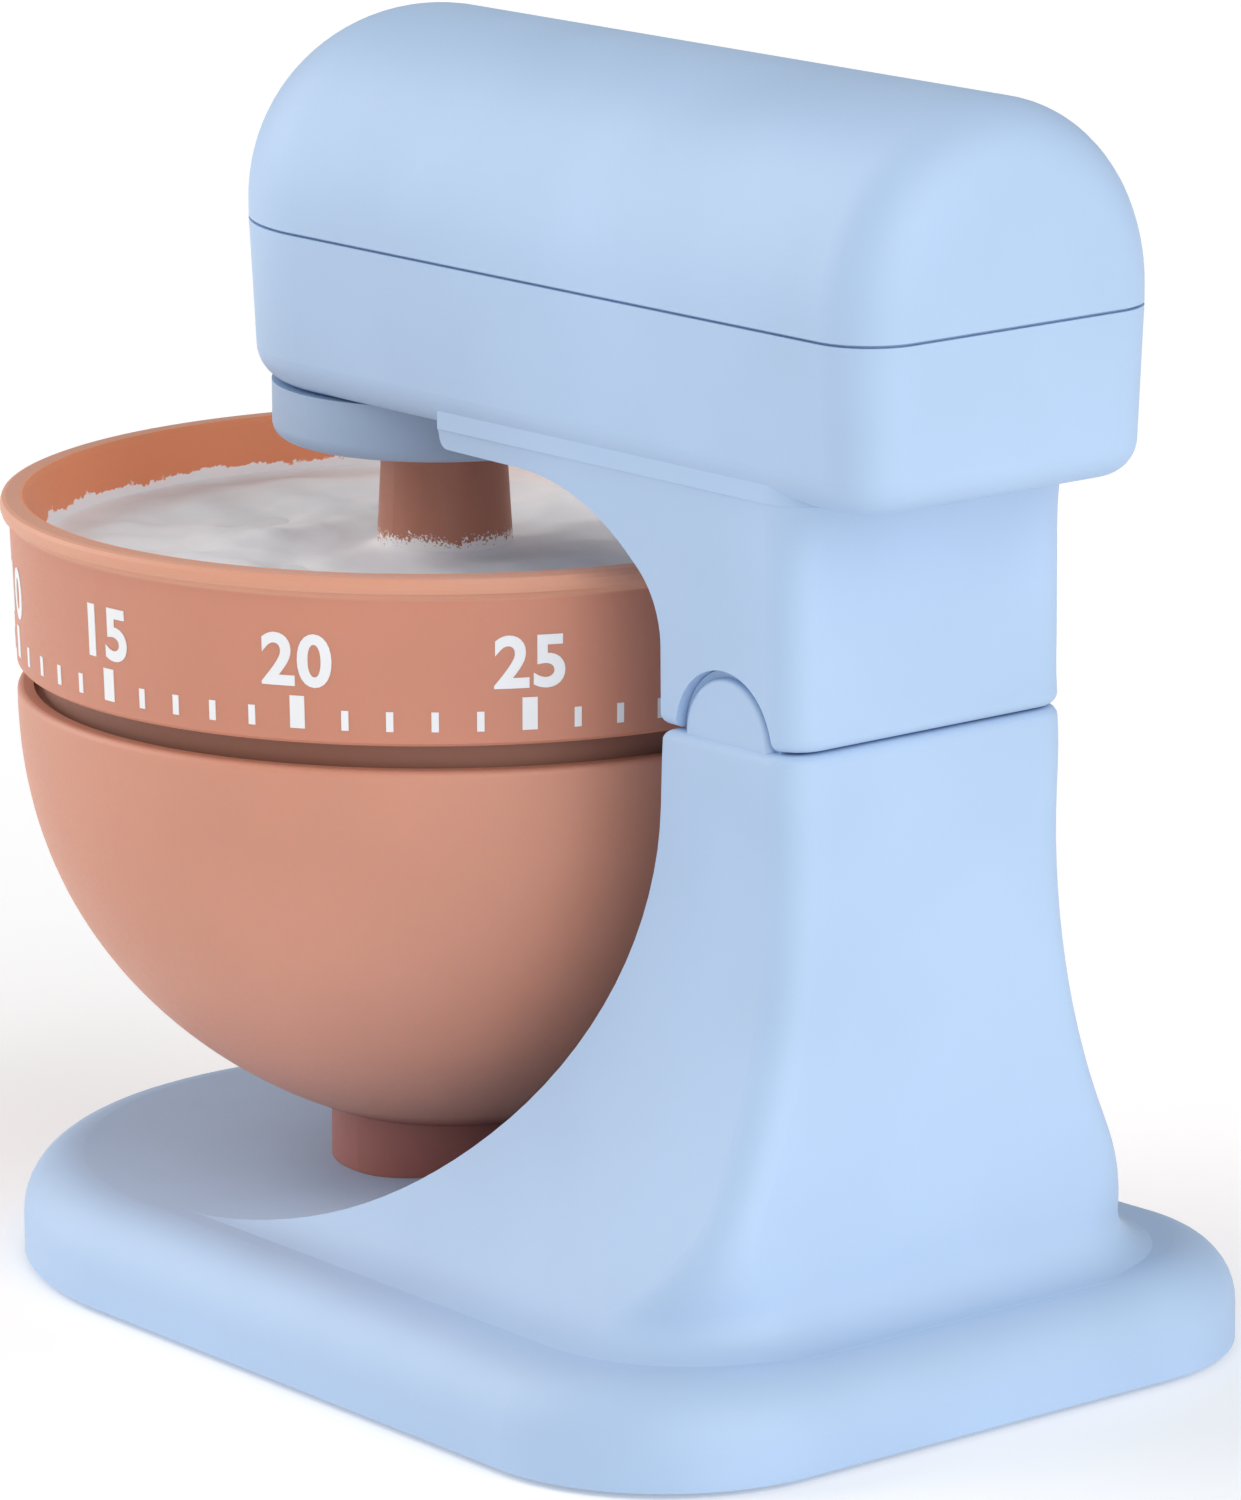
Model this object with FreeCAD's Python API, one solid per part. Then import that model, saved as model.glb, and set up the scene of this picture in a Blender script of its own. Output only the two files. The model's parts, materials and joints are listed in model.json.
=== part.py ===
"""Mixer-shaped mechanical kitchen timer: a wind-up dial on a bowl, a bell movement inside the bowl.

Millimetres, +Z up. The origin is on the table, under the middle of the timer's outline.
The mixer's nose points to -Y and its column stands at +Y. The dial turns about the bowl's vertical axis.
"""
import FreeCAD, Part
import math
import os

V = FreeCAD.Vector
X, Y, Z = V(1, 0, 0), V(0, 1, 0), V(0, 0, 1)

# ---- driving dimensions: outside ----
AXIS_Y = -16.0            # the bowl's, dial's and movement's common axis
WALL = 1.8                # thickness of the moulded shells
FIT = 0.05                # slip clearance between pieces that are fastened together
TOUCH_GAP = 0.02          # between faces that are screwed against each other
FOOT_RISE = 0.5           # the feet lift the base rim this far off the table

BASE_FRONT_RADIUS = 33.6
BASE_FRONT_CENTRE_Y = -19.1
BASE_HALF_WIDTH_REAR = 35.3
BASE_REAR_Y = 50.4
BASE_REAR_CORNER = 16.4
BASE_TOP_Z = 8.5
BASE_EDGE_RADIUS = 5.0
COVER_Z = 1.0             # underside of the base cover
COVER_THICKNESS = 1.6
COVER_INSET = 2.4
FOOT_SPOTS = ((-20.5, -33.0), (20.5, -33.0), (-27.0, 31.0), (27.0, 31.0))
FOOT_RADIUS = 3.9
COVER_SCREW_SPOTS = ((-24.0, -22.0), (24.0, -22.0), (-24.0, 38.0), (24.0, 38.0))
COVER_SCREW_RADIUS = 1.2
COVER_SCREW_RECESS = 0.7  # depth of the pockets that hide the cover's screw heads
COVER_BOSS_RADIUS = 3.0
FOOT_RECESS = 0.6         # depth of the pockets the rubber feet are glued into

COLUMN_HALF_WIDTH = 14.4
COLUMN_REAR_Y = 43.5
COLUMN_CORNER = 3.0
COLUMN_TOP_Z = 54.3
FLARE_START_Z = 45.0
FLARE_RADIUS = 60.0
FLARE_FOOT_RADIUS = 7.0
FLARE_CORNER_GROWTH = 11.0 # the rear corners are this much rounder where the column meets the base
FLARE_CORNER_START_Z = 20.0
REAR_FOOT_RADIUS = 4.0    # concave blend from the column's rear face onto the base
FOOT_SINK = 0.22          # the foot arcs run this far below the base's top, onto its rounded edge
FOOT_INSET = 3.7          # and stop this far inside the base's outline
THROAT_RADIUS = 44.6      # concave front of the column, an arc about the bowl's axis

NECK_BOTTOM_Z = 54.5
NECK_HALF_WIDTH = 14.35
NECK_FRONT_Y = 28.2
WEB_FRONT_Y = 1.5
WEB_BOTTOM_Z = 72.1
WEB_NOSE_RADIUS = 0.9     # rounds the web's front lower corner
SEAM_EDGE_RADIUS = 0.9
KNUCKLE_Y = 35.5
KNUCKLE_RADIUS = 4.9
KNUCKLE_NOTCH_RADIUS = 5.6
KNUCKLE_FACE = 14.05
KNUCKLE_STEP_FACE = 13.3  # a wider step behind the lug, the floor of the groove round it
COVE_HEIGHT = 5.0         # concave blend between the neck's rear and the head's underside
COVE_REACH = 2.6
NECK_FLARE_HEIGHT = 2.5   # the neck and web widen a little where they meet the head
NECK_FLARE = 0.3
NECK_EMBED = 1.9          # how far the neck and web reach into the head's floor
NECK_SCREW_SPOTS = ((-7.0, 36.0), (7.0, 36.0))
NECK_SCREW_RADIUS = 1.3
NECK_SCREW_HEAD_Z = 48.3
NECK_BOSS_RADIUS = 3.2

HEAD_BOTTOM_Z = 73.7
HEAD_SEAM_Z = 87.0
HEAD_TOP_Z = 103.9
HEAD_NOSE_RADIUS = 15.55
HEAD_DRAFT = 0.6          # the lower head is this much narrower, per side, at its bottom
HEAD_REAR_Y = 53.0
HEAD_REAR_CORNER = 5.0    # rounds the rear face's edge, up both sides and over the crown
HEAD_BOTTOM_EDGE = 3.0
SEAM_GAP = 0.24           # groove between the head's two halves
SEAM_DEPTH = 0.45
HEAD_LIP_HEIGHT = 1.4
HEAD_LIP_CLEARANCE = 0.15

HUB_RADIUS = 13.9
HUB_BOTTOM_Z = 69.0
HUB_EDGE_RADIUS = 1.2
HUB_SCREW_RADIUS = 1.2
HUB_SCREW_HEAD_Z = 76.9
HUB_BOSS_RADIUS = 4.0

BOWL_RADIUS = 34.97
BOWL_TOP_Z = 48.9
BOWL_DEPTH = 37.6
BOWL_POWER_R = 1.71       # exponents of the bowl's superelliptic profile
BOWL_POWER_Z = 2.21
BOWL_STEPS = 12           # points along the bowl's profile curve
COLLAR_RADIUS = 9.9
COLLAR_JOINT_Z = 13.4
BOWL_SCREW_RADIUS = 1.5
BOWL_SCREW_HEAD_Z = 4.6
BOWL_BOSS_RADIUS = 5.5

RING_BOTTOM_Z = 50.9
RING_RADIUS_LOW = 34.95
RING_RADIUS_HIGH = 35.35
LIP_RADIUS = 36.05
LIP_BOTTOM_Z = 63.0
RING_TOP_Z = 64.5
RING_INNER_RADIUS = 33.95
DIAL_FLOOR_Z = 59.0
DIAL_FLOOR_THICKNESS = 1.6
STUB_RADIUS_LOW = 5.6
STUB_RADIUS_HIGH = 5.0
STUB_TOP_Z = 70.2

# ---- driving dimensions: movement ----
LID_Z = 46.9
LID_THICKNESS = 1.5
LID_STEP = 1.6            # height of the ledge inside the bowl that the lid rests on
LID_RADIUS = 33.6
LID_UPSTAND_RADIUS = 32.9
LID_UPSTAND_TOP = 52.7
PLATE_RADIUS = 25.0
PLATE_THICKNESS = 1.2
LOWER_PLATE_Z = 31.3
UPPER_PLATE_Z = 45.0
PILLAR_RADIUS = 1.6
PILLAR_CIRCLE = 22.6
PILLAR_ANGLES = (45.0, 135.0, 180.0, 325.0)
MOVEMENT_SCREW_CIRCLE = 20.5
MOVEMENT_SCREW_ANGLES = (70.0, 158.0, 342.0)
MOVEMENT_SCREW_RADIUS = 0.9

PRESSURE_ANGLE = math.radians(20.0)
BACKLASH = 0.13
MAIN_TEETH = 60
SECOND_PINION_TEETH = 12
SECOND_TEETH = 50
THIRD_PINION_TEETH = 10
THIRD_TEETH = 40
ESCAPE_PINION_TEETH = 10
ESCAPE_TEETH = 20
MAIN_MODULE = 0.40
SECOND_MODULE = 0.36
THIRD_MODULE = 0.34
WHEEL_THICKNESS = 0.8
MAIN_WHEEL_Z = 33.4
SECOND_WHEEL_Z = 36.6
THIRD_WHEEL_Z = 38.4
ESCAPE_WHEEL_Z = 41.2
ESCAPE_RADIUS = 5.4
ARBOR_RADIUS = 0.75
PIVOT_RADIUS = 0.45
PIVOT_CLEARANCE = 0.05
MAIN_ARBOR_RADIUS = 2.0
MAIN_PIVOT_RADIUS = 1.4
ARBOR_SQUARE = 3.0
SECOND_ANGLE = 210.0      # where the second arbor stands round the main arbor
THIRD_RADIUS = 17.0       # how far the third arbor stands from the main arbor
ESCAPE_ARBOR_RADIUS = 18.0
PALLET_GAP = 8.3          # escape arbor to pallet arbor
PALLET_SPREAD = 2.9       # each pallet pin's offset from the line of centres
PALLET_LEAN = 2.75        # and along it, from the pallet arbor
PALLET_PIN_RADIUS = 0.3
BALANCE_REACH = 6.2
SPRING_Z0 = 39.9
SPRING_Z1 = 44.2
SPRING_THICKNESS = 0.22
SPRING_TURNS = 5
SPRING_INNER = 2.35
SPRING_OUTER = 8.8

BELL_RADIUS = 17.5
BELL_RIM_Z = 28.6
BELL_TOP_Z = 20.6
BELL_THICKNESS = 0.8
HAMMER_ANGLE = 30.0
HAMMER_ARBOR_CIRCLE = 21.0
HAMMER_REACH = 9.0
HAMMER_HEAD_RADIUS = 1.7
HAMMER_BELL_GAP = 0.9
HAMMER_ARBOR_RADIUS = 0.9
HAMMER_THICKNESS = 0.9
CAM_RADIUS = 7.0
STRIKE_Z = 34.6           # level of the strike cam and of the hammer's tail
NOTCH_TURN = 8.0          # the cam's notch stands this many degrees past the hammer's arbor


# ---- helpers ----
def cyl(radius, z0, z1, x=0.0, y=AXIS_Y):
    return Part.makeCylinder(radius, z1 - z0, V(x, y, z0))


def cone(r0, r1, z0, z1, x=0.0, y=AXIS_Y):
    return Part.makeCone(r0, r1, z1 - z0, V(x, y, z0))


def block(x0, x1, y0, y1, z0, z1):
    return Part.makeBox(x1 - x0, y1 - y0, z1 - z0, V(x0, y0, z0))


def at_axis(radius, angle_deg):
    """A point at a polar place round the bowl's axis."""
    a = math.radians(angle_deg)
    return radius * math.cos(a), AXIS_Y + radius * math.sin(a)


def line(a, b):
    return Part.LineSegment(a, b).toShape()


def arc(a, b, c):
    return Part.Arc(a, b, c).toShape()


def arc_about(centre, radius, a0, a1, place):
    """An arc from angle a0 to a1 (degrees) in a plane; place(u, v) gives its 3-D points."""
    pts = []
    for a in (a0, (a0 + a1) / 2, a1):
        t = math.radians(a)
        pts.append(place(centre[0] + radius * math.cos(t), centre[1] + radius * math.sin(t)))
    return arc(*pts)


def face(edges):
    return Part.Face(Part.Wire(Part.__sortEdges__(edges)))


def polygon_face(points):
    return Part.Face(Part.makePolygon(list(points) + [points[0]]))


def revolve(points, y=AXIS_Y, x=0.0):
    """Turn a closed (radius, z) outline about a vertical axis."""
    shape = polygon_face([V(x + r, y, z) for r, z in points])
    return shape.revolve(V(x, y, 0), Z, 360)


def cut_all(shape, tools):
    for tool in tools:
        shape = shape.cut(tool)
    return shape


def fuse_all(shapes):
    whole = shapes[0]
    for shape in shapes[1:]:
        whole = whole.fuse(shape)
    return whole.removeSplitter()


def edges_where(shape, test):
    """Edges whose sampled points all pass a test of x, y, z."""
    found = []
    for edge in shape.Edges:
        first, last = edge.ParameterRange
        samples = [edge.valueAt(first + (last - first) * k / 4) for k in range(5)]
        if all(test(p.x, p.y, p.z) for p in samples):
            found.append(edge)
    return found


def near(a, b, tol=0.02):
    return abs(a - b) < tol


def plan_wire(z, half, rear, corner, front=None, taper=0.0):
    """Closed plan outline: rounded rear corners, and a square front or a nose round the bowl's axis."""
    def place(u, v):
        return V(u, v, z)

    if front is None:
        front = AXIS_Y
        ahead = arc_about((0, front), half, 180, 360, place)
    else:
        ahead = line(V(taper - half, front, z), V(half - taper, front, z))
    return Part.Wire([
        ahead,
        line(V(half - taper, front, z), V(half, rear - corner, z)),
        arc_about((half - corner, rear - corner), corner, 0, 90, place),
        line(V(half - corner, rear, z), V(corner - half, rear, z)),
        arc_about((corner - half, rear - corner), corner, 90, 180, place),
        line(V(-half, rear - corner, z), V(taper - half, front, z)),
    ])


# ---- base and column ----
def base_outline(inset, z):
    """Closed outline of the base: a round front, sides that widen a little, rounded rear corners."""
    front_r = BASE_FRONT_RADIUS - inset
    half = BASE_HALF_WIDTH_REAR - inset
    rear = BASE_REAR_Y - inset
    corner = BASE_REAR_CORNER - inset
    cy = BASE_FRONT_CENTRE_Y

    def place(u, v):
        return V(u, v, z)

    side_bottom = V(front_r, cy, z)
    side_top = V(half, rear - corner, z)
    left_bottom = V(-front_r, cy, z)
    left_top = V(-half, rear - corner, z)
    return face([
        arc_about((0, cy), front_r, 180, 360, place),
        line(side_bottom, side_top),
        arc_about((half - corner, rear - corner), corner, 0, 90, place),
        line(V(half - corner, rear, z), V(corner - half, rear, z)),
        arc_about((corner - half, rear - corner), corner, 90, 180, place),
        line(left_top, left_bottom),
    ])


def base_slab(inset):
    """The low base, with a softly rounded top edge."""
    top = BASE_TOP_Z - inset
    slab = base_outline(inset, FOOT_RISE).extrude(V(0, 0, top - FOOT_RISE))
    rim = edges_where(slab, lambda x, y, z: near(z, top))
    return slab.makeFillet(BASE_EDGE_RADIUS - inset, rim)


def flare_half_width(z, inset):
    """Half the column's width at a height: straight, then a large concave arc, then the foot arc."""
    half = COLUMN_HALF_WIDTH - inset
    radius = FLARE_RADIUS + inset
    foot = FLARE_FOOT_RADIUS + inset
    centre_x = half + radius
    foot_z = BASE_TOP_Z - FOOT_SINK - inset + foot
    # the foot arc touches the flare arc from inside and the base's top from above
    foot_x = centre_x - math.sqrt((radius - foot) ** 2 - (FLARE_START_Z - foot_z) ** 2)
    touch = math.atan2(foot_z - FLARE_START_Z, foot_x - centre_x)
    touch_z = FLARE_START_Z + radius * math.sin(touch)
    if z >= FLARE_START_Z:
        return half
    if z >= touch_z:
        return centre_x - math.sqrt(radius ** 2 - (FLARE_START_Z - z) ** 2)
    return foot_x - math.sqrt(max(0.0, foot ** 2 - (foot_z - z) ** 2))


def column_rear(z, inset):
    """Where the column's rear face is at a height: upright, then a small concave foot."""
    rear = COLUMN_REAR_Y - inset
    radius = REAR_FOOT_RADIUS + inset
    foot_z = BASE_TOP_Z - FOOT_SINK - inset + radius
    if z >= foot_z:
        return rear
    return rear + radius - math.sqrt(max(0.0, radius ** 2 - (foot_z - z) ** 2))


def column_solid(inset):
    """The column: plan outlines blended upwards from the base, with the concave front scooped out."""
    top = COLUMN_TOP_Z - inset
    floor = BASE_TOP_Z - FOOT_SINK - inset
    rises = (0.15, 0.5, 0.9, 1.5, 2.3, 3.3, 4.5, 6.0, 8.0, 10.5, 13.5, 17.5, 21.5, 25.5, 29.5, 33.5, 37.5)
    heights = [floor - 0.15] + [floor + rise for rise in rises] + [top]
    sections = []
    for z in heights:
        growth = max(0.0, (FLARE_CORNER_START_Z - z) / (FLARE_CORNER_START_Z - BASE_TOP_Z))
        corner = max(COLUMN_CORNER - inset, 1.0) + FLARE_CORNER_GROWTH * growth ** 2
        level = max(z, floor)
        half, rear = flare_half_width(level, inset), column_rear(level, inset)
        taper = (BASE_HALF_WIDTH_REAR - BASE_FRONT_RADIUS) * growth ** 2
        sections.append(plan_wire(z, half, rear, corner, AXIS_Y, taper))
    blended = Part.makeLoft(sections, True, False)
    throat = THROAT_RADIUS + inset
    centre_z = BASE_TOP_Z + THROAT_RADIUS
    scoop = Part.makeCylinder(throat, 80, V(-40, AXIS_Y, centre_z), X)
    above = block(-40, 40, AXIS_Y - 50, AXIS_Y + throat, centre_z, top + 1)
    footing = base_outline(FOOT_INSET + inset, 0).extrude(V(0, 0, top + 1))
    return cut_all(blended, [scoop, above]).common(footing)


def knuckle(side, radius, x_in, x_out, z_low):
    """A half-round lug standing on the column's side, or the notch that takes it."""
    start = min(side * x_in, side * x_out)
    lug = Part.makeCylinder(radius, x_out - x_in, V(start, KNUCKLE_Y, COLUMN_TOP_Z), X)
    return lug.common(block(-20, 20, KNUCKLE_Y - 8, KNUCKLE_Y + 8, z_low, COLUMN_TOP_Z + 8))


def screw(x, y, z_head, length, radius, head_radius, head_height, up):
    """A pan-head screw with a cross recess; its shank runs up or down from the head."""
    sign = 1 if up else -1
    head_low = z_head - head_height if up else z_head
    head = cyl(head_radius, head_low, head_low + head_height, x, y)
    rim_z = z_head - head_height if up else z_head + head_height
    head = head.makeFillet(head_height * 0.45, edges_where(head, lambda a, b, c: near(c, rim_z)))
    low, high = sorted((z_head, z_head + sign * length))
    body = head.fuse(cyl(radius, low, high, x, y))
    depth = head_height * 0.55
    arm, slim = head_radius * 0.62, head_radius * 0.15
    z0, z1 = sorted((rim_z, rim_z + sign * depth))
    cross = block(x - arm, x + arm, y - slim, y + slim, z0, z1)
    cross = cross.fuse(block(x - slim, x + slim, y - arm, y + arm, z0, z1))
    return body.cut(cross)


def base_column():
    """One moulding: the base with its column, open below, with screw bosses inside."""
    outer = fuse_all([base_slab(0), column_solid(0)])
    seam = edges_where(outer, lambda x, y, z: near(z, COLUMN_TOP_Z))
    outer = outer.makeFillet(SEAM_EDGE_RADIUS, seam)
    hollow = fuse_all([base_slab(WALL), column_solid(WALL)])
    hollow = hollow.fuse(base_outline(WALL, -1).extrude(V(0, 0, FOOT_RISE + 1.5)))
    shell = outer.cut(hollow)
    bosses = [cyl(COVER_BOSS_RADIUS, 3.2, 20.0, x, y).common(outer) for x, y in COVER_SCREW_SPOTS]
    boss_top = COLUMN_TOP_Z - WALL / 2
    bosses += [cyl(NECK_BOSS_RADIUS, NECK_SCREW_HEAD_Z, boss_top, x, y) for x, y in NECK_SCREW_SPOTS]
    bosses.append(cyl(BOWL_BOSS_RADIUS, BOWL_SCREW_HEAD_Z, BASE_TOP_Z - WALL + 0.4))
    lugs = []
    for side in (-1, 1):
        lug = knuckle(side, KNUCKLE_RADIUS, 12.3, KNUCKLE_FACE, COLUMN_TOP_Z - 1.5)
        rim = edges_where(lug, lambda x, y, z: near(abs(x), KNUCKLE_FACE))
        lugs.append(lug.makeFillet(0.5, [edge for edge in rim if isinstance(edge.Curve, Part.Circle)]))
        lugs.append(knuckle(side, KNUCKLE_NOTCH_RADIUS - FIT, 12.3, KNUCKLE_STEP_FACE, COLUMN_TOP_Z - 1.5))
    shell = fuse_all([shell] + bosses + lugs)
    holes = [cyl(COVER_SCREW_RADIUS, 0, 7.3, x, y) for x, y in COVER_SCREW_SPOTS]
    holes += [cyl(NECK_SCREW_RADIUS + FIT, 40, 60, x, y) for x, y in NECK_SCREW_SPOTS]
    holes.append(cyl(BOWL_SCREW_RADIUS + FIT, 0, 12))
    holes.append(cyl(COLLAR_RADIUS + FIT, BASE_TOP_Z, COLLAR_JOINT_Z))
    return cut_all(shell, holes)


def base_cover():
    plate = base_outline(COVER_INSET, COVER_Z).extrude(V(0, 0, COVER_THICKNESS))
    holes = []
    for x, y in COVER_SCREW_SPOTS:
        holes.append(cyl(COVER_SCREW_RADIUS + 0.15, 0, 5, x, y))
        holes.append(cyl(2.6, 0, COVER_Z + COVER_SCREW_RECESS, x, y))
    for x, y in FOOT_SPOTS:
        holes.append(cyl(FOOT_RADIUS + 0.1, 0, COVER_Z + FOOT_RECESS, x, y))
    return cut_all(plate, holes)


def rubber_feet():
    feet = []
    for x, y in FOOT_SPOTS:
        foot = cyl(FOOT_RADIUS, 0, COVER_Z + FOOT_RECESS, x, y)
        feet.append(foot.makeFillet(0.4, edges_where(foot, lambda a, b, c: near(c, 0))))
    return Part.makeCompound(feet)


def base_cover_screws():
    z_head = COVER_Z + COVER_SCREW_RECESS
    radius = COVER_SCREW_RADIUS - 0.02
    screws = [screw(x, y, z_head, 5.2, radius, 2.2, 0.6, True) for x, y in COVER_SCREW_SPOTS]
    return Part.makeCompound(screws)


# ---- head and neck ----
def head_outline(z, inset):
    """Plan of the head at a height: a half-round nose about the bowl's axis and a square rear."""
    return plan_wire(z, HEAD_NOSE_RADIUS - inset, HEAD_REAR_Y - inset, max(HEAD_REAR_CORNER - inset, 0.8))


def lower_head(inset, bottom, top):
    """The head's lower half, a little narrower at its bottom, with a rounded bottom edge."""
    tray = Part.makeLoft([head_outline(bottom, inset + HEAD_DRAFT), head_outline(top, inset)], True, True)
    edge = edges_where(tray, lambda x, y, z: near(z, bottom))
    return tray.makeFillet(HEAD_BOTTOM_EDGE - inset * 0.6, edge)


def ellipse_rise(share):
    """How far a quarter ellipse has moved out, from 0 to 1, a share of the way along it."""
    return 1 - math.sqrt(max(0.0, 1 - min(1.0, max(0.0, share)) ** 2))


def neck_side_view(rear):
    """Side view of the neck and web: an upright post whose front sweeps forward in an arch."""
    front = NECK_FRONT_Y
    low = NECK_BOTTOM_Z
    high = HEAD_BOTTOM_Z + NECK_EMBED
    web = WEB_BOTTOM_Z
    start = WEB_FRONT_Y
    nose = WEB_NOSE_RADIUS
    return face([
        line(V(0, start, high), V(0, start, web + nose)),
        arc_about((start + nose, web + nose), nose, 180, 270, lambda u, v: V(0, u, v)),
        line(V(0, start + nose, web), V(0, start + 9.0, web - 0.1)),
        arc(V(0, start + 9.0, web - 0.1), V(0, front - 9.5, web - 1.6), V(0, front - 3.2, web - 5.4)),
        arc(V(0, front - 3.2, web - 5.4), V(0, front - 0.9, web - 8.0), V(0, front, web - 11.6)),
        line(V(0, front, web - 11.6), V(0, front, low)),
        line(V(0, front, low), V(0, rear, low)),
        line(V(0, rear, low), V(0, rear, high)),
        line(V(0, rear, high), V(0, start, high)),
    ])


def neck_solid():
    """Neck and web: plan outlines that spread into the head's underside, trimmed to the side view."""
    half, rear, corner = NECK_HALF_WIDTH, COLUMN_REAR_Y, COLUMN_CORNER
    ahead = WEB_FRONT_Y - 1
    drops = (20.0, 17.0, 14.0, 11.0, 8.0, 6.5, 5.2, 4.0, 3.0, 2.2, 1.5, 1.0, 0.6, 0.3, 0.1, 0.0)
    sections = []
    for drop in drops:
        cove = ellipse_rise(1 - drop / COVE_HEIGHT) * COVE_REACH
        flare = ellipse_rise(1 - drop / NECK_FLARE_HEIGHT) * NECK_FLARE
        z = HEAD_BOTTOM_Z - drop
        sections.append(plan_wire(z, half + flare, rear + cove, corner + cove, ahead))
    post = Part.makeLoft(sections, True, False)
    top = HEAD_BOTTOM_Z + NECK_EMBED
    cap = plan_wire(top, half + NECK_FLARE, rear + COVE_REACH, corner + COVE_REACH, ahead)
    post = post.fuse(Part.makeLoft([sections[-1], cap], True, True))
    side_view = neck_side_view(rear + COVE_REACH + 1)
    side_view.translate(V(-HEAD_NOSE_RADIUS, 0, 0))
    return post.common(side_view.extrude(V(2 * HEAD_NOSE_RADIUS, 0, 0)))


def head_housing():
    """One moulding: the head's lower half, the web and the neck, open at the top."""
    tray = lower_head(0, HEAD_BOTTOM_Z, HEAD_SEAM_Z - SEAM_GAP / 2)
    post = neck_solid()
    seam = edges_where(post, lambda x, y, z: near(z, NECK_BOTTOM_Z))
    post = post.makeFillet(SEAM_EDGE_RADIUS, seam)
    outer = fuse_all([tray, post])
    hollow = lower_head(WALL, HEAD_BOTTOM_Z + WALL, HEAD_SEAM_Z + 1)
    floor = plan_wire(NECK_BOTTOM_Z + WALL, NECK_HALF_WIDTH - WALL, COLUMN_REAR_Y - WALL,
                      COLUMN_CORNER - WALL, NECK_FRONT_Y + WALL)
    well = Part.Face(floor).extrude(V(0, 0, HEAD_BOTTOM_Z + WALL - NECK_BOTTOM_Z))
    shell = outer.cut(hollow).cut(well)
    boss_z, boss_top = NECK_BOTTOM_Z + 0.5, NECK_BOTTOM_Z + 9.0
    bosses = [cyl(NECK_BOSS_RADIUS, boss_z, boss_top, x, y) for x, y in NECK_SCREW_SPOTS]
    bosses.append(cyl(HUB_BOSS_RADIUS, HEAD_BOTTOM_Z + 0.5, HUB_SCREW_HEAD_Z))
    shell = fuse_all([shell] + bosses)
    holes = [cyl(NECK_SCREW_RADIUS, NECK_BOTTOM_Z - 1, boss_top - 1, x, y) for x, y in NECK_SCREW_SPOTS]
    holes.append(cyl(HUB_SCREW_RADIUS + FIT, HEAD_BOTTOM_Z - 1, HEAD_BOTTOM_Z + 5))
    holes += [knuckle(s, KNUCKLE_NOTCH_RADIUS, 12.0, 16.0, NECK_BOTTOM_Z - 1) for s in (-1, 1)]
    return cut_all(shell, holes)


def head_dome(inset, bottom):
    """The head's upper half: a half-round crown, a ball-shaped nose and a flat rear with a round edge."""
    radius = HEAD_NOSE_RADIUS - inset
    top = HEAD_TOP_Z - inset
    crown_z = top - radius
    rear = HEAD_REAR_Y - inset
    barrel = Part.makeCylinder(radius, rear - AXIS_Y, V(0, AXIS_Y, crown_z), Y)
    crown = barrel.common(block(-20, 20, AXIS_Y, rear, crown_z, top + 1))
    body = fuse_all([crown, block(-radius, radius, AXIS_Y, rear, bottom, crown_z)])
    rim = edges_where(body, lambda x, y, z: near(y, rear))
    rim = [edge for edge in rim if edge.CenterOfMass.z > bottom + 0.1]
    body = body.makeFillet(max(HEAD_REAR_CORNER - inset, 0.8), rim)
    nose = Part.makeSphere(radius, V(0, AXIS_Y, crown_z))
    nose = nose.common(block(-20, 20, AXIS_Y - 20, AXIS_Y, crown_z, top + 1))
    chin = Part.makeCylinder(radius, crown_z - bottom, V(0, AXIS_Y, bottom))
    chin = chin.common(block(-20, 20, AXIS_Y - 20, AXIS_Y, bottom, crown_z))
    return fuse_all([body, nose, chin])


def head_cover():
    """The head's upper half; its floor is recessed at the seam and a lip drops inside the lower half."""
    shell = head_dome(0, HEAD_SEAM_Z + SEAM_GAP / 2).cut(head_dome(WALL, HEAD_SEAM_Z - 1))
    lip_z = HEAD_SEAM_Z - HEAD_LIP_HEIGHT
    seat_z = HEAD_SEAM_Z - SEAM_GAP / 2 + TOUCH_GAP
    lip = Part.Face(head_outline(lip_z, WALL + HEAD_LIP_CLEARANCE)).extrude(V(0, 0, HEAD_LIP_HEIGHT + 1.2))
    shelf = Part.Face(head_outline(seat_z, SEAM_DEPTH)).extrude(V(0, 0, 1.2))
    inner = Part.Face(head_outline(lip_z - 1, WALL + 1.4)).extrude(V(0, 0, HEAD_LIP_HEIGHT + 4))
    return fuse_all([shell, lip.cut(inner), shelf.cut(inner)])


def neck_screws():
    radius = NECK_SCREW_RADIUS - 0.02
    return Part.makeCompound([
        screw(x, y, NECK_SCREW_HEAD_Z, 12.5, radius, 2.5, 1.6, True) for x, y in NECK_SCREW_SPOTS
    ])


def hub():
    """The round planetary hub under the head, with a recess for the top of the beater stub."""
    body = cyl(HUB_RADIUS, HUB_BOTTOM_Z, HEAD_BOTTOM_Z - TOUCH_GAP)
    body = body.makeFillet(HUB_EDGE_RADIUS, edges_where(body, lambda x, y, z: near(z, HUB_BOTTOM_Z)))
    recess = cyl(STUB_RADIUS_LOW + 0.2, HUB_BOTTOM_Z - 1, STUB_TOP_Z + 0.5)
    return cut_all(body, [recess, cyl(HUB_SCREW_RADIUS, HUB_BOTTOM_Z, HEAD_BOTTOM_Z + 1)])


def hub_screw():
    return screw(0, AXIS_Y, HUB_SCREW_HEAD_Z, 5.4, HUB_SCREW_RADIUS - 0.02, 2.4, 1.5, False)


# ---- bowl ----
def bowl_radius(drop, radius, depth):
    """The superelliptic bowl's radius at a drop below its rim."""
    return radius * max(0.0, 1 - (drop / depth) ** BOWL_POWER_Z) ** (1 / BOWL_POWER_R)


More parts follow.
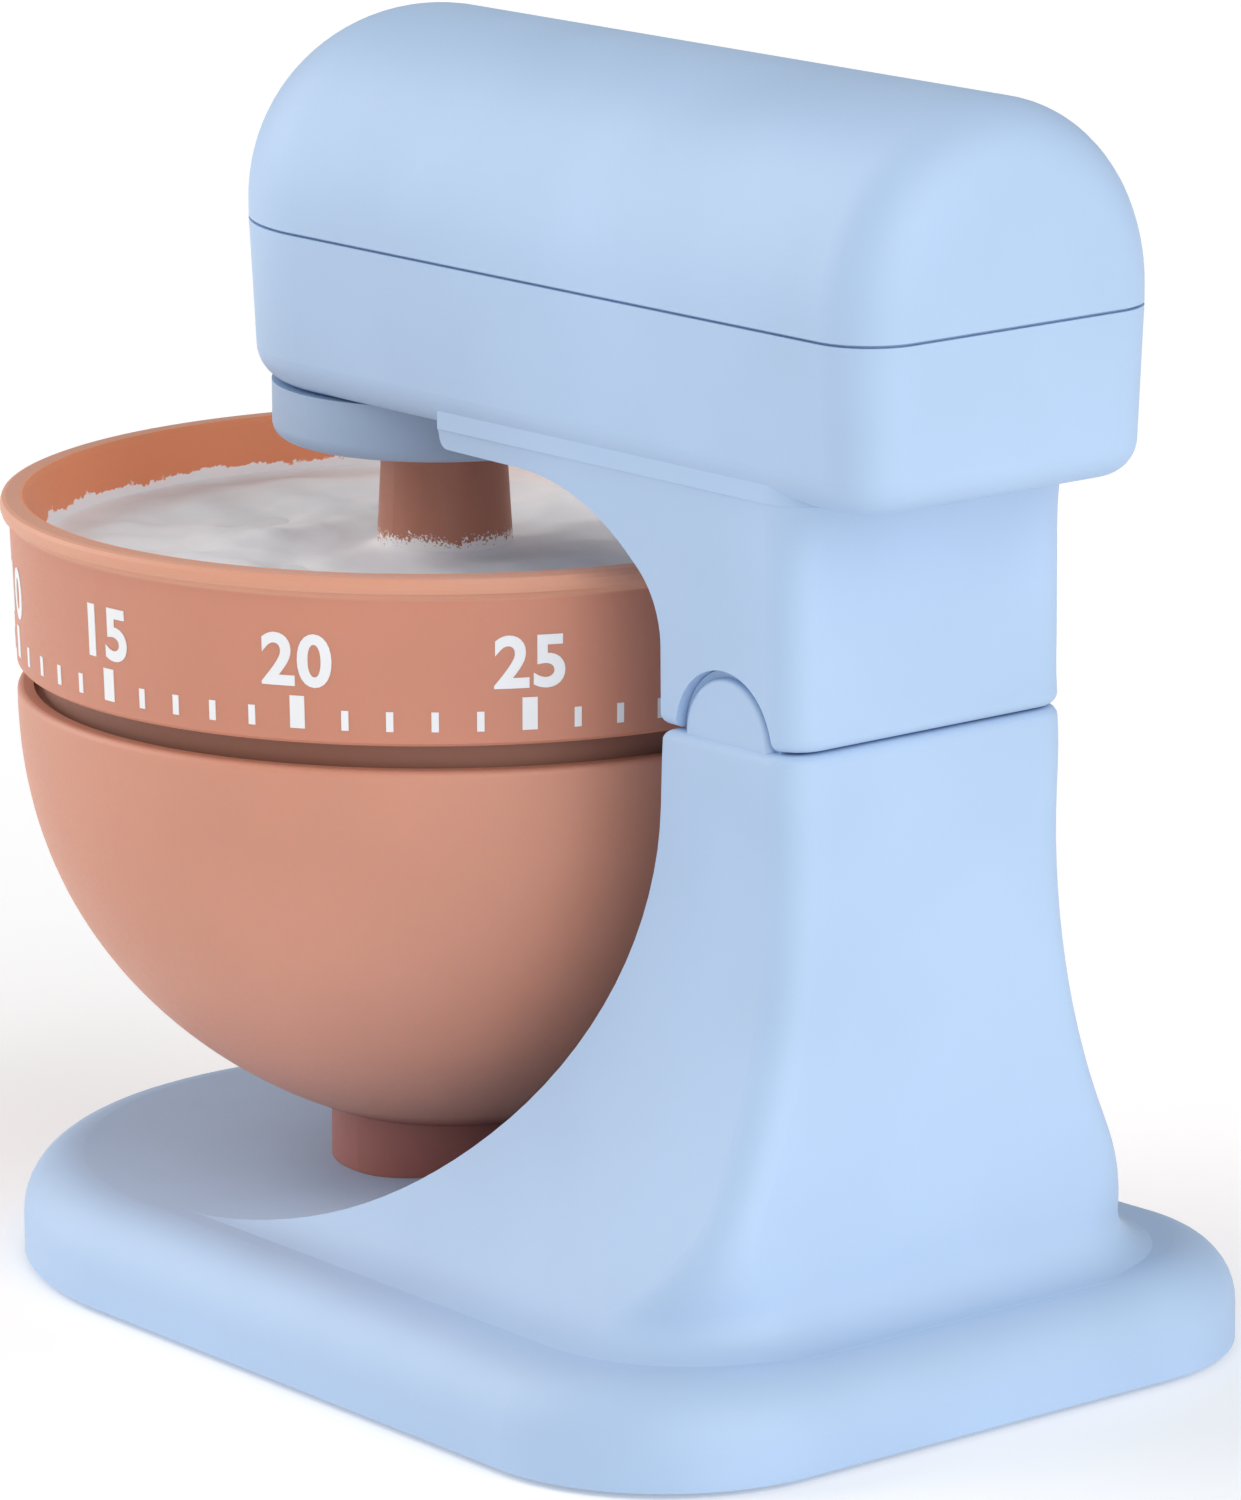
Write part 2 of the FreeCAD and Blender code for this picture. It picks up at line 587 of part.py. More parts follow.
def bowl_surface(radius, depth, top, low_drop):
    """A solid bowl: a smooth curve through points of the profile, turned about the bowl's axis."""
    drops = [low_drop * math.sin(math.pi / 2 * k / BOWL_STEPS) for k in range(BOWL_STEPS + 1)]
    points = [V(bowl_radius(d, radius, depth), AXIS_Y, top - d) for d in drops]
    curve = Part.BSplineCurve()
    curve.interpolate(points)
    low = points[-1]
    outline = face([
        curve.toShape(),
        line(low, V(0, AXIS_Y, low.z)),
        line(V(0, AXIS_Y, low.z), V(0, AXIS_Y, top)),
        line(V(0, AXIS_Y, top), points[0]),
    ])
    return outline.revolve(V(0, AXIS_Y, 0), Z, 360)


def bowl():
    """The fixed lower bowl with its collar foot; the movement's lid sits on a step inside the rim."""
    low_drop = BOWL_TOP_Z - COLLAR_JOINT_Z + 1.2
    outer = bowl_surface(BOWL_RADIUS, BOWL_DEPTH, BOWL_TOP_Z, low_drop)
    outer = outer.makeFillet(0.5, edges_where(outer, lambda x, y, z: near(z, BOWL_TOP_Z)))
    outer = outer.fuse(cyl(COLLAR_RADIUS, BASE_TOP_Z + TOUCH_GAP, COLLAR_JOINT_Z))
    inner = bowl_surface(BOWL_RADIUS - WALL, BOWL_DEPTH - WALL, BOWL_TOP_Z, BOWL_TOP_Z - 15.4)
    shell = outer.cut(inner).cut(cyl(LID_RADIUS + FIT, LID_Z, BOWL_TOP_Z + 1))
    step = cyl(BOWL_RADIUS - 0.6, LID_Z - LID_STEP, LID_Z)
    step = step.cut(cone(BOWL_RADIUS - 1.6, LID_RADIUS - 0.9, LID_Z - LID_STEP, LID_Z))
    shell = fuse_all([shell, step.common(outer)])
    pocket = cyl(COLLAR_RADIUS - WALL, BASE_TOP_Z - 1, 12.0).cut(cyl(3.6, BASE_TOP_Z - 2, 12.5))
    return cut_all(shell, [pocket, cyl(BOWL_SCREW_RADIUS, 0, 14.0)])


def bowl_screw():
    return screw(0, AXIS_Y, BOWL_SCREW_HEAD_Z, 9.0, BOWL_SCREW_RADIUS - 0.02, 2.8, 1.6, True)


def bowl_lid():
    """The deck that closes the bowl under the dial and carries the movement."""
    deck = cyl(LID_RADIUS, LID_Z, LID_Z + LID_THICKNESS)
    rim = cyl(LID_UPSTAND_RADIUS, LID_Z, LID_UPSTAND_TOP).cut(cyl(LID_UPSTAND_RADIUS - 1.3, LID_Z - 1, 60))
    bosses = []
    for a in MOVEMENT_SCREW_ANGLES:
        x, y = at_axis(MOVEMENT_SCREW_CIRCLE, a)
        bosses.append(cyl(2.4, UPPER_PLATE_Z + PLATE_THICKNESS + TOUCH_GAP, LID_Z + 0.2, x, y))
    shape = fuse_all([deck, rim] + bosses)
    holes = [cyl(MAIN_ARBOR_RADIUS + 3.0, LID_Z - 1, LID_Z + 5)]
    for a in MOVEMENT_SCREW_ANGLES:
        x, y = at_axis(MOVEMENT_SCREW_CIRCLE, a)
        holes.append(cyl(MOVEMENT_SCREW_RADIUS + FIT, 40, 60, x, y))
    return cut_all(shape, holes)


def movement_screws():
    out = []
    for a in MOVEMENT_SCREW_ANGLES:
        x, y = at_axis(MOVEMENT_SCREW_CIRCLE, a)
        length = LID_Z + LID_THICKNESS - UPPER_PLATE_Z + 0.8
        radius = MOVEMENT_SCREW_RADIUS - 0.02
        out.append(screw(x, y, LID_Z + LID_THICKNESS, length, radius, 1.9, 0.9, False))
    return Part.makeCompound(out)


# ---- dial ----
def dial_ring():
    """The numbered ring, its floor and the beater stub: one moulding that turns on the movement."""
    outline = [
        (RING_RADIUS_LOW - 1.3, RING_BOTTOM_Z),
        (RING_RADIUS_LOW - 0.25, RING_BOTTOM_Z),
        (RING_RADIUS_LOW, RING_BOTTOM_Z + 0.25),
        (RING_RADIUS_HIGH, LIP_BOTTOM_Z - 0.35),
        (RING_RADIUS_HIGH + 0.3, LIP_BOTTOM_Z),
        (LIP_RADIUS - 0.12, LIP_BOTTOM_Z + 0.2),
        (LIP_RADIUS, LIP_BOTTOM_Z + 0.55),
        (LIP_RADIUS, RING_TOP_Z - 0.45),
        (LIP_RADIUS - 0.14, RING_TOP_Z - 0.12),
        (LIP_RADIUS - 0.45, RING_TOP_Z),
        (RING_INNER_RADIUS + 0.3, RING_TOP_Z),
        (RING_INNER_RADIUS, RING_TOP_Z - 0.3),
        (RING_INNER_RADIUS - 0.2, DIAL_FLOOR_Z),
        (STUB_RADIUS_LOW, DIAL_FLOOR_Z),
        (STUB_RADIUS_HIGH, STUB_TOP_Z - 0.3),
        (STUB_RADIUS_HIGH - 0.3, STUB_TOP_Z),
        (0, STUB_TOP_Z),
        (0, 50.2),
        (4.2, 50.2),
        (4.2, DIAL_FLOOR_Z - DIAL_FLOOR_THICKNESS),
        (RING_RADIUS_LOW - 1.3, DIAL_FLOOR_Z - DIAL_FLOOR_THICKNESS),
    ]
    ring = revolve(outline)
    socket_half = ARBOR_SQUARE / 2 + FIT
    socket = block(-socket_half, socket_half, AXIS_Y - socket_half, AXIS_Y + socket_half, 50, 58.2)
    return ring.cut(socket)


def main_arbor():
    """The winding shaft: round in the plates, square where the dial sits on it."""
    half = ARBOR_SQUARE / 2
    parts = [
        cyl(MAIN_ARBOR_RADIUS, LOWER_PLATE_Z + PLATE_THICKNESS + 0.1, UPPER_PLATE_Z + 3.5),
        cyl(MAIN_PIVOT_RADIUS, LOWER_PLATE_Z - 0.8, LOWER_PLATE_Z + PLATE_THICKNESS + 0.2),
        block(-half, half, AXIS_Y - half, AXIS_Y + half, UPPER_PLATE_Z + 3.4, 58.0),
        cyl(3.2, MAIN_WHEEL_Z - 0.5, MAIN_WHEEL_Z),
    ]
    return fuse_all(parts)


# ---- movement: frame ----
def polar_between(radius_a, radius_b, gap):
    """Angle at the main arbor between two arbors that stand a given distance apart."""
    return math.degrees(math.acos((radius_a ** 2 + radius_b ** 2 - gap ** 2) / (2 * radius_a * radius_b)))


SECOND_RADIUS = MAIN_MODULE * (MAIN_TEETH + SECOND_PINION_TEETH) / 2
SECOND_THIRD_GAP = SECOND_MODULE * (SECOND_TEETH + THIRD_PINION_TEETH) / 2
THIRD_ESCAPE_GAP = THIRD_MODULE * (THIRD_TEETH + ESCAPE_PINION_TEETH) / 2
THIRD_ANGLE = SECOND_ANGLE + polar_between(SECOND_RADIUS, THIRD_RADIUS, SECOND_THIRD_GAP)
ESCAPE_ANGLE = THIRD_ANGLE + polar_between(THIRD_RADIUS, ESCAPE_ARBOR_RADIUS, THIRD_ESCAPE_GAP)
PALLET_ANGLE = ESCAPE_ANGLE + polar_between(ESCAPE_ARBOR_RADIUS, ESCAPE_ARBOR_RADIUS, PALLET_GAP)

MAIN_SPOT = (0.0, AXIS_Y)
SECOND_SPOT = at_axis(SECOND_RADIUS, SECOND_ANGLE)
THIRD_SPOT = at_axis(THIRD_RADIUS, THIRD_ANGLE)
ESCAPE_SPOT = at_axis(ESCAPE_ARBOR_RADIUS, ESCAPE_ANGLE)
PALLET_SPOT = at_axis(ESCAPE_ARBOR_RADIUS, PALLET_ANGLE)
HAMMER_SPOT = at_axis(HAMMER_ARBOR_CIRCLE, HAMMER_ANGLE)
TRAIN_SPOTS = (SECOND_SPOT, THIRD_SPOT, ESCAPE_SPOT, PALLET_SPOT)


def movement_plate(z):
    plate = cyl(PLATE_RADIUS, z, z + PLATE_THICKNESS)
    holes = [cyl(PIVOT_RADIUS + PIVOT_CLEARANCE, z - 1, z + 3, x, y) for x, y in TRAIN_SPOTS]
    for a in PILLAR_ANGLES:
        x, y = at_axis(PILLAR_CIRCLE, a)
        holes.append(cyl(0.9, z - 1, z + 3, x, y))
    holes.append(cyl(HAMMER_ARBOR_RADIUS + PIVOT_CLEARANCE, z - 1, z + 3, *HAMMER_SPOT))
    return plate, holes


def lower_plate():
    plate, holes = movement_plate(LOWER_PLATE_Z)
    holes.append(cyl(MAIN_PIVOT_RADIUS + PIVOT_CLEARANCE, 0, 60))
    return cut_all(plate, holes)


def upper_plate():
    plate, holes = movement_plate(UPPER_PLATE_Z)
    holes.append(cyl(MAIN_ARBOR_RADIUS + PIVOT_CLEARANCE, 0, 60))
    for a in MOVEMENT_SCREW_ANGLES:
        x, y = at_axis(MOVEMENT_SCREW_CIRCLE, a)
        holes.append(cyl(MOVEMENT_SCREW_RADIUS, 0, 60, x, y))
    return cut_all(plate, holes)


def plate_pillars():
    pillars = []
    for a in PILLAR_ANGLES:
        x, y = at_axis(PILLAR_CIRCLE, a)
        low, high = LOWER_PLATE_Z, UPPER_PLATE_Z + PLATE_THICKNESS
        pillars.append(fuse_all([
            cyl(PILLAR_RADIUS, low + PLATE_THICKNESS, UPPER_PLATE_Z, x, y),
            cyl(0.88, low - 0.4, high + 0.4, x, y),
        ]))
    return Part.makeCompound(pillars)


def bar_between(start, end, half_width, z0, z1):
    """A flat bar between two points in plan."""
    along = V(end[0] - start[0], end[1] - start[1], 0).normalize()
    side = V(-along.y, along.x, 0) * half_width
    a, b = V(start[0], start[1], z0), V(end[0], end[1], z0)
    return polygon_face([a + side, a - side, b - side, b + side]).extrude(V(0, 0, z1 - z0))


# ---- movement: gears ----
def involute(angle):
    return math.tan(angle) - angle


def gear_points(teeth, module, addendum, dedendum, first_tooth_deg):
    """Outline of an involute gear with straight-faceted flanks; first_tooth_deg is where a tooth points."""
    pitch_r = module * teeth / 2
    base_r = pitch_r * math.cos(PRESSURE_ANGLE)
    tip_r = pitch_r + addendum * module
    root_r = pitch_r - dedendum * module
    half_tooth = math.pi / (2 * teeth) - BACKLASH / (2 * pitch_r)

    def half_angle(radius):
        if radius <= base_r:
            return half_tooth + involute(PRESSURE_ANGLE)
        return half_tooth + involute(PRESSURE_ANGLE) - involute(math.acos(base_r / radius))

    start = max(base_r, root_r)
    flank = [start + (tip_r - start) * k / 2 for k in range(3)]
    if root_r < base_r:
        flank.insert(0, root_r)
    points = []
    for k in range(teeth):
        middle = math.radians(first_tooth_deg) + 2 * math.pi * k / teeth
        for r in flank:
            points.append((r, middle - half_angle(r)))
        for r in reversed(flank):
            points.append((r, middle + half_angle(r)))
    return points


def toothed(spot, z0, z1, points):
    x, y = spot
    corners = [V(x + r * math.cos(a), y + r * math.sin(a), z0) for r, a in points]
    return polygon_face(corners).extrude(V(0, 0, z1 - z0))


def bearing_deg(from_spot, to_spot):
    return math.degrees(math.atan2(to_spot[1] - from_spot[1], to_spot[0] - from_spot[0]))


def wheel(spot, z0, teeth, module, toward, bore, crossings):
    """A toothed wheel with a bore and round lightening holes; a tooth points at the pinion it drives."""
    points = gear_points(teeth, module, 0.85, 1.15, bearing_deg(spot, toward))
    blank = toothed(spot, z0, z0 + WHEEL_THICKNESS, points)
    holes = [cyl(bore, z0 - 1, z0 + 3, *spot)]
    body = module * teeth / 2
    for k in range(crossings):
        a = 2 * math.pi * (k + 0.5) / crossings
        radius = body * 0.56
        x, y = spot[0] + radius * math.cos(a), spot[1] + radius * math.sin(a)
        holes.append(cyl(body * 0.24, z0 - 1, z0 + 3, x, y))
    return cut_all(blank, holes)


def pinion(spot, z0, z1, teeth, module, toward):
    """A pinion with a gap facing the wheel that drives it."""
    points = gear_points(teeth, module, 0.85, 1.2, bearing_deg(spot, toward) + 180.0 / teeth)
    return toothed(spot, z0, z1, points)


def train_arbor(spot, pinion_z, pinion_teeth, module, driver_spot, wheel_z):
    """A steel arbor with its pinion, a seat for its wheel and thin pivots at both ends."""
    low = LOWER_PLATE_Z + PLATE_THICKNESS + 0.15
    high = UPPER_PLATE_Z - 0.15
    return fuse_all([
        cyl(ARBOR_RADIUS, low, high, *spot),
        cyl(PIVOT_RADIUS, LOWER_PLATE_Z, UPPER_PLATE_Z + PLATE_THICKNESS, *spot),
        pinion(spot, pinion_z - 0.4, pinion_z + WHEEL_THICKNESS + 0.4, pinion_teeth, module, driver_spot),
        cyl(1.3, wheel_z - 0.35, wheel_z, *spot),
    ])


def second_arbor():
    meshes = (MAIN_WHEEL_Z, SECOND_PINION_TEETH, MAIN_MODULE, MAIN_SPOT)
    return train_arbor(SECOND_SPOT, *meshes, SECOND_WHEEL_Z)


def third_arbor():
    meshes = (SECOND_WHEEL_Z, THIRD_PINION_TEETH, SECOND_MODULE, SECOND_SPOT)
    return train_arbor(THIRD_SPOT, *meshes, THIRD_WHEEL_Z)


def escape_arbor():
    meshes = (THIRD_WHEEL_Z, ESCAPE_PINION_TEETH, THIRD_MODULE, THIRD_SPOT)
    return train_arbor(ESCAPE_SPOT, *meshes, ESCAPE_WHEEL_Z)


def main_wheel():
    return wheel(MAIN_SPOT, MAIN_WHEEL_Z, MAIN_TEETH, MAIN_MODULE, SECOND_SPOT, MAIN_ARBOR_RADIUS + 0.02, 5)


def second_wheel():
    bore = ARBOR_RADIUS + 0.02
    return wheel(SECOND_SPOT, SECOND_WHEEL_Z, SECOND_TEETH, SECOND_MODULE, THIRD_SPOT, bore, 4)


def third_wheel():
    return wheel(THIRD_SPOT, THIRD_WHEEL_Z, THIRD_TEETH, THIRD_MODULE, ESCAPE_SPOT, ARBOR_RADIUS + 0.02, 4)


def escape_wheel():
    """Saw-toothed wheel that the pallet lets past one tooth at a time."""
    points = []
    for k in range(ESCAPE_TEETH):
        a = 2 * math.pi * k / ESCAPE_TEETH
        points.append((ESCAPE_RADIUS, a))
        points.append((ESCAPE_RADIUS, a + 0.035))
        points.append((ESCAPE_RADIUS - 1.2, a + 0.20))
    blank = toothed(ESCAPE_SPOT, ESCAPE_WHEEL_Z, ESCAPE_WHEEL_Z + WHEEL_THICKNESS, points)
    return blank.cut(cyl(ARBOR_RADIUS + 0.02, 0, 60, *ESCAPE_SPOT))


def pallet_arbor():
    low = LOWER_PLATE_Z + PLATE_THICKNESS + 0.15
    return fuse_all([
        cyl(ARBOR_RADIUS, low, UPPER_PLATE_Z - 0.15, *PALLET_SPOT),
        cyl(PIVOT_RADIUS, LOWER_PLATE_Z, UPPER_PLATE_Z + PLATE_THICKNESS, *PALLET_SPOT),
        cyl(1.3, ESCAPE_WHEEL_Z - 0.35, ESCAPE_WHEEL_Z, *PALLET_SPOT),
    ])


def pallet_lever():
    """The two-armed pallet with its pins, and the weighted balance bar above it."""
    x, y = PALLET_SPOT
    aim = math.radians(bearing_deg(PALLET_SPOT, ESCAPE_SPOT))
    along = V(math.cos(aim), math.sin(aim), 0)
    across = V(-math.sin(aim), math.cos(aim), 0)
    centre = V(x, y, 0)
    z0 = ESCAPE_WHEEL_Z + WHEEL_THICKNESS + 0.2
    z1 = z0 + 0.7
    pieces = [cyl(1.7, z0, z1, x, y)]
    for s in (-1, 1):
        tip = centre + along * PALLET_LEAN + across * (s * PALLET_SPREAD)
        pieces.append(bar_between((x, y), (tip.x, tip.y), 0.6, z0, z1))
        pieces.append(cyl(PALLET_PIN_RADIUS + 0.45, z0, z1, tip.x, tip.y))
        pieces.append(cyl(PALLET_PIN_RADIUS, ESCAPE_WHEEL_Z, z0 + 0.1, tip.x, tip.y))
    bar_z = z1 + 0.9
    pieces.append(cyl(1.2, z1, bar_z, x, y))
    end_a = centre + across * BALANCE_REACH
    end_b = centre - across * BALANCE_REACH
    pieces.append(bar_between((end_a.x, end_a.y), (end_b.x, end_b.y), 0.7, bar_z - 0.4, bar_z + 0.2))
    for end in (end_a, end_b):
        pieces.append(cyl(1.2, bar_z - 0.4, bar_z + 0.4, end.x, end.y))
    return fuse_all(pieces).cut(cyl(ARBOR_RADIUS + 0.02, 0, 60, x, y))


def mainspring():
    """Flat spiral spring round the winding arbor, one blade of even thickness."""
    steps = SPRING_TURNS * 6
    inner, outer = [], []
    for k in range(steps + 1):
        a = 2 * math.pi * SPRING_TURNS * k / steps
        r = SPRING_INNER + (SPRING_OUTER - SPRING_INNER) * k / steps
        for points, reach in ((inner, r), (outer, r + SPRING_THICKNESS)):
            points.append(V(reach * math.cos(a), AXIS_Y + reach * math.sin(a), SPRING_Z0))
    curves = []
    for points in (inner, outer):
        curve = Part.BSplineCurve()
        curve.interpolate(points)
        curves.append(curve.toShape())
    ends = [line(inner[0], outer[0]), line(inner[-1], outer[-1])]
    return face(curves + ends).extrude(V(0, 0, SPRING_Z1 - SPRING_Z0))


def strike_cam():
    """The notched disc on the winding arbor that lets the hammer ring at zero."""
    disc = cyl(CAM_RADIUS, STRIKE_Z, STRIKE_Z + HAMMER_THICKNESS)
    x, y = at_axis(CAM_RADIUS + 0.4, HAMMER_ANGLE + NOTCH_TURN)
    return cut_all(disc, [cyl(1.5, 0, 60, x, y), cyl(MAIN_ARBOR_RADIUS + 0.02, 0, 60)])


# ---- movement: bell and hammer ----
def bell():
    """Shallow steel bell, mouth up, on a post under the lower plate."""
    outer = [(2.0, BELL_TOP_Z), (BELL_RADIUS - 5.5, BELL_TOP_Z), (BELL_RADIUS - 2.3, BELL_TOP_Z + 1.4),
             (BELL_RADIUS - 0.5, BELL_TOP_Z + 4.2), (BELL_RADIUS, BELL_RIM_Z)]
    t = BELL_THICKNESS
    inner = [(BELL_RADIUS - t, BELL_RIM_Z), (BELL_RADIUS - 0.5 - t, BELL_TOP_Z + 4.4),
             (BELL_RADIUS - 2.7 - t * 0.6, BELL_TOP_Z + 2.2), (BELL_RADIUS - 5.8, BELL_TOP_Z + t),
             (2.0, BELL_TOP_Z + t)]
    return revolve(outer + inner)


def bell_post():
    """Shouldered post riveted to the lower plate; the bell hangs on its lower end."""
    shoulder = BELL_TOP_Z + BELL_THICKNESS
    return fuse_all([
        cyl(2.6, shoulder, LOWER_PLATE_Z - 1.2),
        cyl(1.96, BELL_TOP_Z - 0.1, shoulder + 0.1),
        cyl(1.3, BELL_TOP_Z - 2.8, BELL_TOP_Z),
        cyl(6.5, LOWER_PLATE_Z - 1.6, LOWER_PLATE_Z - 1.2),
        cyl(6.5, LOWER_PLATE_Z - 1.2, LOWER_PLATE_Z).cut(cyl(5.5, LOWER_PLATE_Z - 1.2, LOWER_PLATE_Z)),
    ])


def bell_nut():
    corners = [(2.9, math.radians(60 * k)) for k in range(6)]
    nut = toothed(MAIN_SPOT, BELL_TOP_Z - 2.2, BELL_TOP_Z - 0.1, corners)
    return nut.cut(cyl(1.32, 0, 60))


def hammer_head_spot():
    """The hammer head rests just off the bell's rim."""
    ring = BELL_RADIUS + HAMMER_BELL_GAP + HAMMER_HEAD_RADIUS
    turn = polar_between(HAMMER_ARBOR_CIRCLE, ring, HAMMER_REACH)
    return at_axis(ring, HAMMER_ANGLE + turn)


def hammer():
    """Hammer: its arbor, the arm under the plate with a round head, and the tail over the cam."""
    head_spot = hammer_head_spot()
    arm_z = LOWER_PLATE_Z - 1.6
    arm_top = arm_z + HAMMER_THICKNESS
    return fuse_all([
        cyl(HAMMER_ARBOR_RADIUS, arm_z, UPPER_PLATE_Z + PLATE_THICKNESS, *HAMMER_SPOT),
        cyl(1.5, arm_z, arm_top, *HAMMER_SPOT),
        bar_between(HAMMER_SPOT, head_spot, 0.6, arm_z, arm_top),
        cyl(HAMMER_HEAD_RADIUS, BELL_RIM_Z - 2.4, arm_top, *head_spot),
    ])


def hammer_tail():
    """Tail plate fixed on the hammer's arbor, level with the strike cam."""
    z0, z1 = STRIKE_Z, STRIKE_Z + HAMMER_THICKNESS
    tip = at_axis(8.6, HAMMER_ANGLE + NOTCH_TURN)
    plate = fuse_all([bar_between(HAMMER_SPOT, tip, 0.7, z0, z1), cyl(1.9, z0, z1, *HAMMER_SPOT)])
    return plate.cut(cyl(HAMMER_ARBOR_RADIUS + 0.02, 0, 60, *HAMMER_SPOT))


# ---- export ----
NODES = {
    "base_column": base_column,
    "base_cover": base_cover,
    "rubber_feet": rubber_feet,
    "base_cover_screws": base_cover_screws,
    "head_housing": head_housing,
    "head_cover": head_cover,
    "neck_screws": neck_screws,
    "hub": hub,
    "hub_screw": hub_screw,
    "bowl": bowl,
    "bowl_screw": bowl_screw,
    "bowl_lid": bowl_lid,
    "movement_screws": movement_screws,
    "dial_ring": dial_ring,
    "main_arbor": main_arbor,
    "main_wheel": main_wheel,
    "strike_cam": strike_cam,
    "mainspring": mainspring,
    "lower_plate": lower_plate,
    "upper_plate": upper_plate,
    "plate_pillars": plate_pillars,
    "second_arbor": second_arbor,
    "second_wheel": second_wheel,
    "third_arbor": third_arbor,
    "third_wheel": third_wheel,
    "escape_arbor": escape_arbor,
    "escape_wheel": escape_wheel,
    "pallet_arbor": pallet_arbor,
    "pallet_lever": pallet_lever,
    "hammer": hammer,
    "hammer_tail": hammer_tail,
    "bell": bell,
    "bell_post": bell_post,
    "bell_nut": bell_nut,
}

os.makedirs("parts", exist_ok=True)
for node, make in NODES.items():
    shape = make()
    print(f"{node:18s} solids {len(shape.Solids)} valid {shape.isValid()} volume {shape.Volume:9.1f}")
    shape.exportStep(f"parts/{node}.step")
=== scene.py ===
"""The look of a mixer-shaped kitchen timer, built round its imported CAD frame. Metres, +Z up."""
import json
import math

import bmesh
import bpy
from mathutils import Matrix, Vector, noise


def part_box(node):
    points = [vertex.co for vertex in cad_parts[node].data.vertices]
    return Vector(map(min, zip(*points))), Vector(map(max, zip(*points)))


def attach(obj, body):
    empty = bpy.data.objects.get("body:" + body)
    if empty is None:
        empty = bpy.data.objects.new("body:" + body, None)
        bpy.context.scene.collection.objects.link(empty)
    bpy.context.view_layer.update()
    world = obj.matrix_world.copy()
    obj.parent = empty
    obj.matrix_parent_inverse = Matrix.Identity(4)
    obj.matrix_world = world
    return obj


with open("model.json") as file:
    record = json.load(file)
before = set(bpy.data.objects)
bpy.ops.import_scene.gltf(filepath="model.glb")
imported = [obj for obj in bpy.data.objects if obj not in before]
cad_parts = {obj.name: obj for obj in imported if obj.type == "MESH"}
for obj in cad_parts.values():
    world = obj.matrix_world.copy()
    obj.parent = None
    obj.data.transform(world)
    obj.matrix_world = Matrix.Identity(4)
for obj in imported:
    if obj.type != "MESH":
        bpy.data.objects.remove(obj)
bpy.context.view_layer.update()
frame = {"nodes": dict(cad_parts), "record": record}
MM = 0.001

# ---- places read from the frame ----
RING_LOW, RING_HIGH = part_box("dial_ring")
AXIS = Vector(((RING_LOW.x + RING_HIGH.x) / 2, (RING_LOW.y + RING_HIGH.y) / 2, 0))
BOWL_LOW, BOWL_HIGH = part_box("bowl")


# ---- shared shapes ----
def add_object(name, bm, material, smooth=True):
    """Make a bmesh into an object with one material."""
    mesh = bpy.data.meshes.new(name)
    for face in bm.faces:
        face.smooth = smooth
    bm.to_mesh(mesh)
    bm.free()
    mesh.materials.append(material)
    made = bpy.data.objects.new(name, mesh)
    bpy.context.scene.collection.objects.link(made)
    return made


def around_axis(radius, angle, height):
    """A point round the bowl's axis; the angle is in radians, counter-clockwise from +X."""
    return Vector((AXIS.x + radius * math.cos(angle), AXIS.y + radius * math.sin(angle), height))


def polar_grid(bm, rows, columns, place):
    """A round sheet of rows x columns faces; its points come from place(row share, column share)."""
    points = []
    for i in range(rows + 1):
        points.append([bm.verts.new(place(i / rows, j / columns)) for j in range(columns)])
    for inner, outer in zip(points, points[1:]):
        for j in range(columns):
            k = (j + 1) % columns
            bm.faces.new((inner[j], inner[k], outer[k], outer[j]))


# ---- camera ----
CAMERA_AZIMUTH = math.radians(140.22)
CAMERA_ELEVATION = math.radians(13.20)
CAMERA_ROLL = math.radians(-0.36)
CAMERA_DISTANCE = 0.698
CAMERA_SIDE_AIM = 14.15 * MM
CAMERA_AIM_HEIGHT = 42.39 * MM
CAMERA_LENS = 204.8
CAMERA_SENSOR = 36.0
CAMERA_NEAR = 0.05
CAMERA_FAR = 20.0


def add_camera():
    """A long-lens camera behind and to the right of the timer, with the dial left of the column."""
    az, el, roll = CAMERA_AZIMUTH, CAMERA_ELEVATION, CAMERA_ROLL
    back = Vector((math.sin(az) * math.cos(el), -math.cos(az) * math.cos(el), math.sin(el)))
    side = Vector((0, 0, 1)).cross(back).normalized()
    up = back.cross(side)
    right = side * math.cos(roll) + up * math.sin(roll)
    up = up * math.cos(roll) - side * math.sin(roll)
    aim = AXIS + side * CAMERA_SIDE_AIM + Vector((0, 0, CAMERA_AIM_HEIGHT))
    data = bpy.data.cameras.new("camera")
    data.lens = CAMERA_LENS
    data.sensor_width = CAMERA_SENSOR
    data.clip_start = CAMERA_NEAR
    data.clip_end = CAMERA_FAR
    camera = bpy.data.objects.new("camera", data)
    bpy.context.scene.collection.objects.link(camera)
    turn = Matrix((right, up, back)).transposed().to_4x4()
    camera.matrix_world = Matrix.Translation(aim + back * CAMERA_DISTANCE) @ turn
    bpy.context.scene.camera = camera


# ---- studio ----
WORLD_COLOUR = (0.96, 0.98, 1.0, 1)
WORLD_STRENGTH = 0.37
SUNS = (
    # name, direction it comes from, strength, angular size in degrees, colour
    ("rear_softbox", (0.05, 1.0, 0.50), 2.1, 70, (1.0, 0.985, 0.97)),
    ("left_softbox", (0.55, -0.95, 0.50), 1.9, 60, (1.0, 0.985, 0.965)),
)
FLOOR_HALF = 6.0


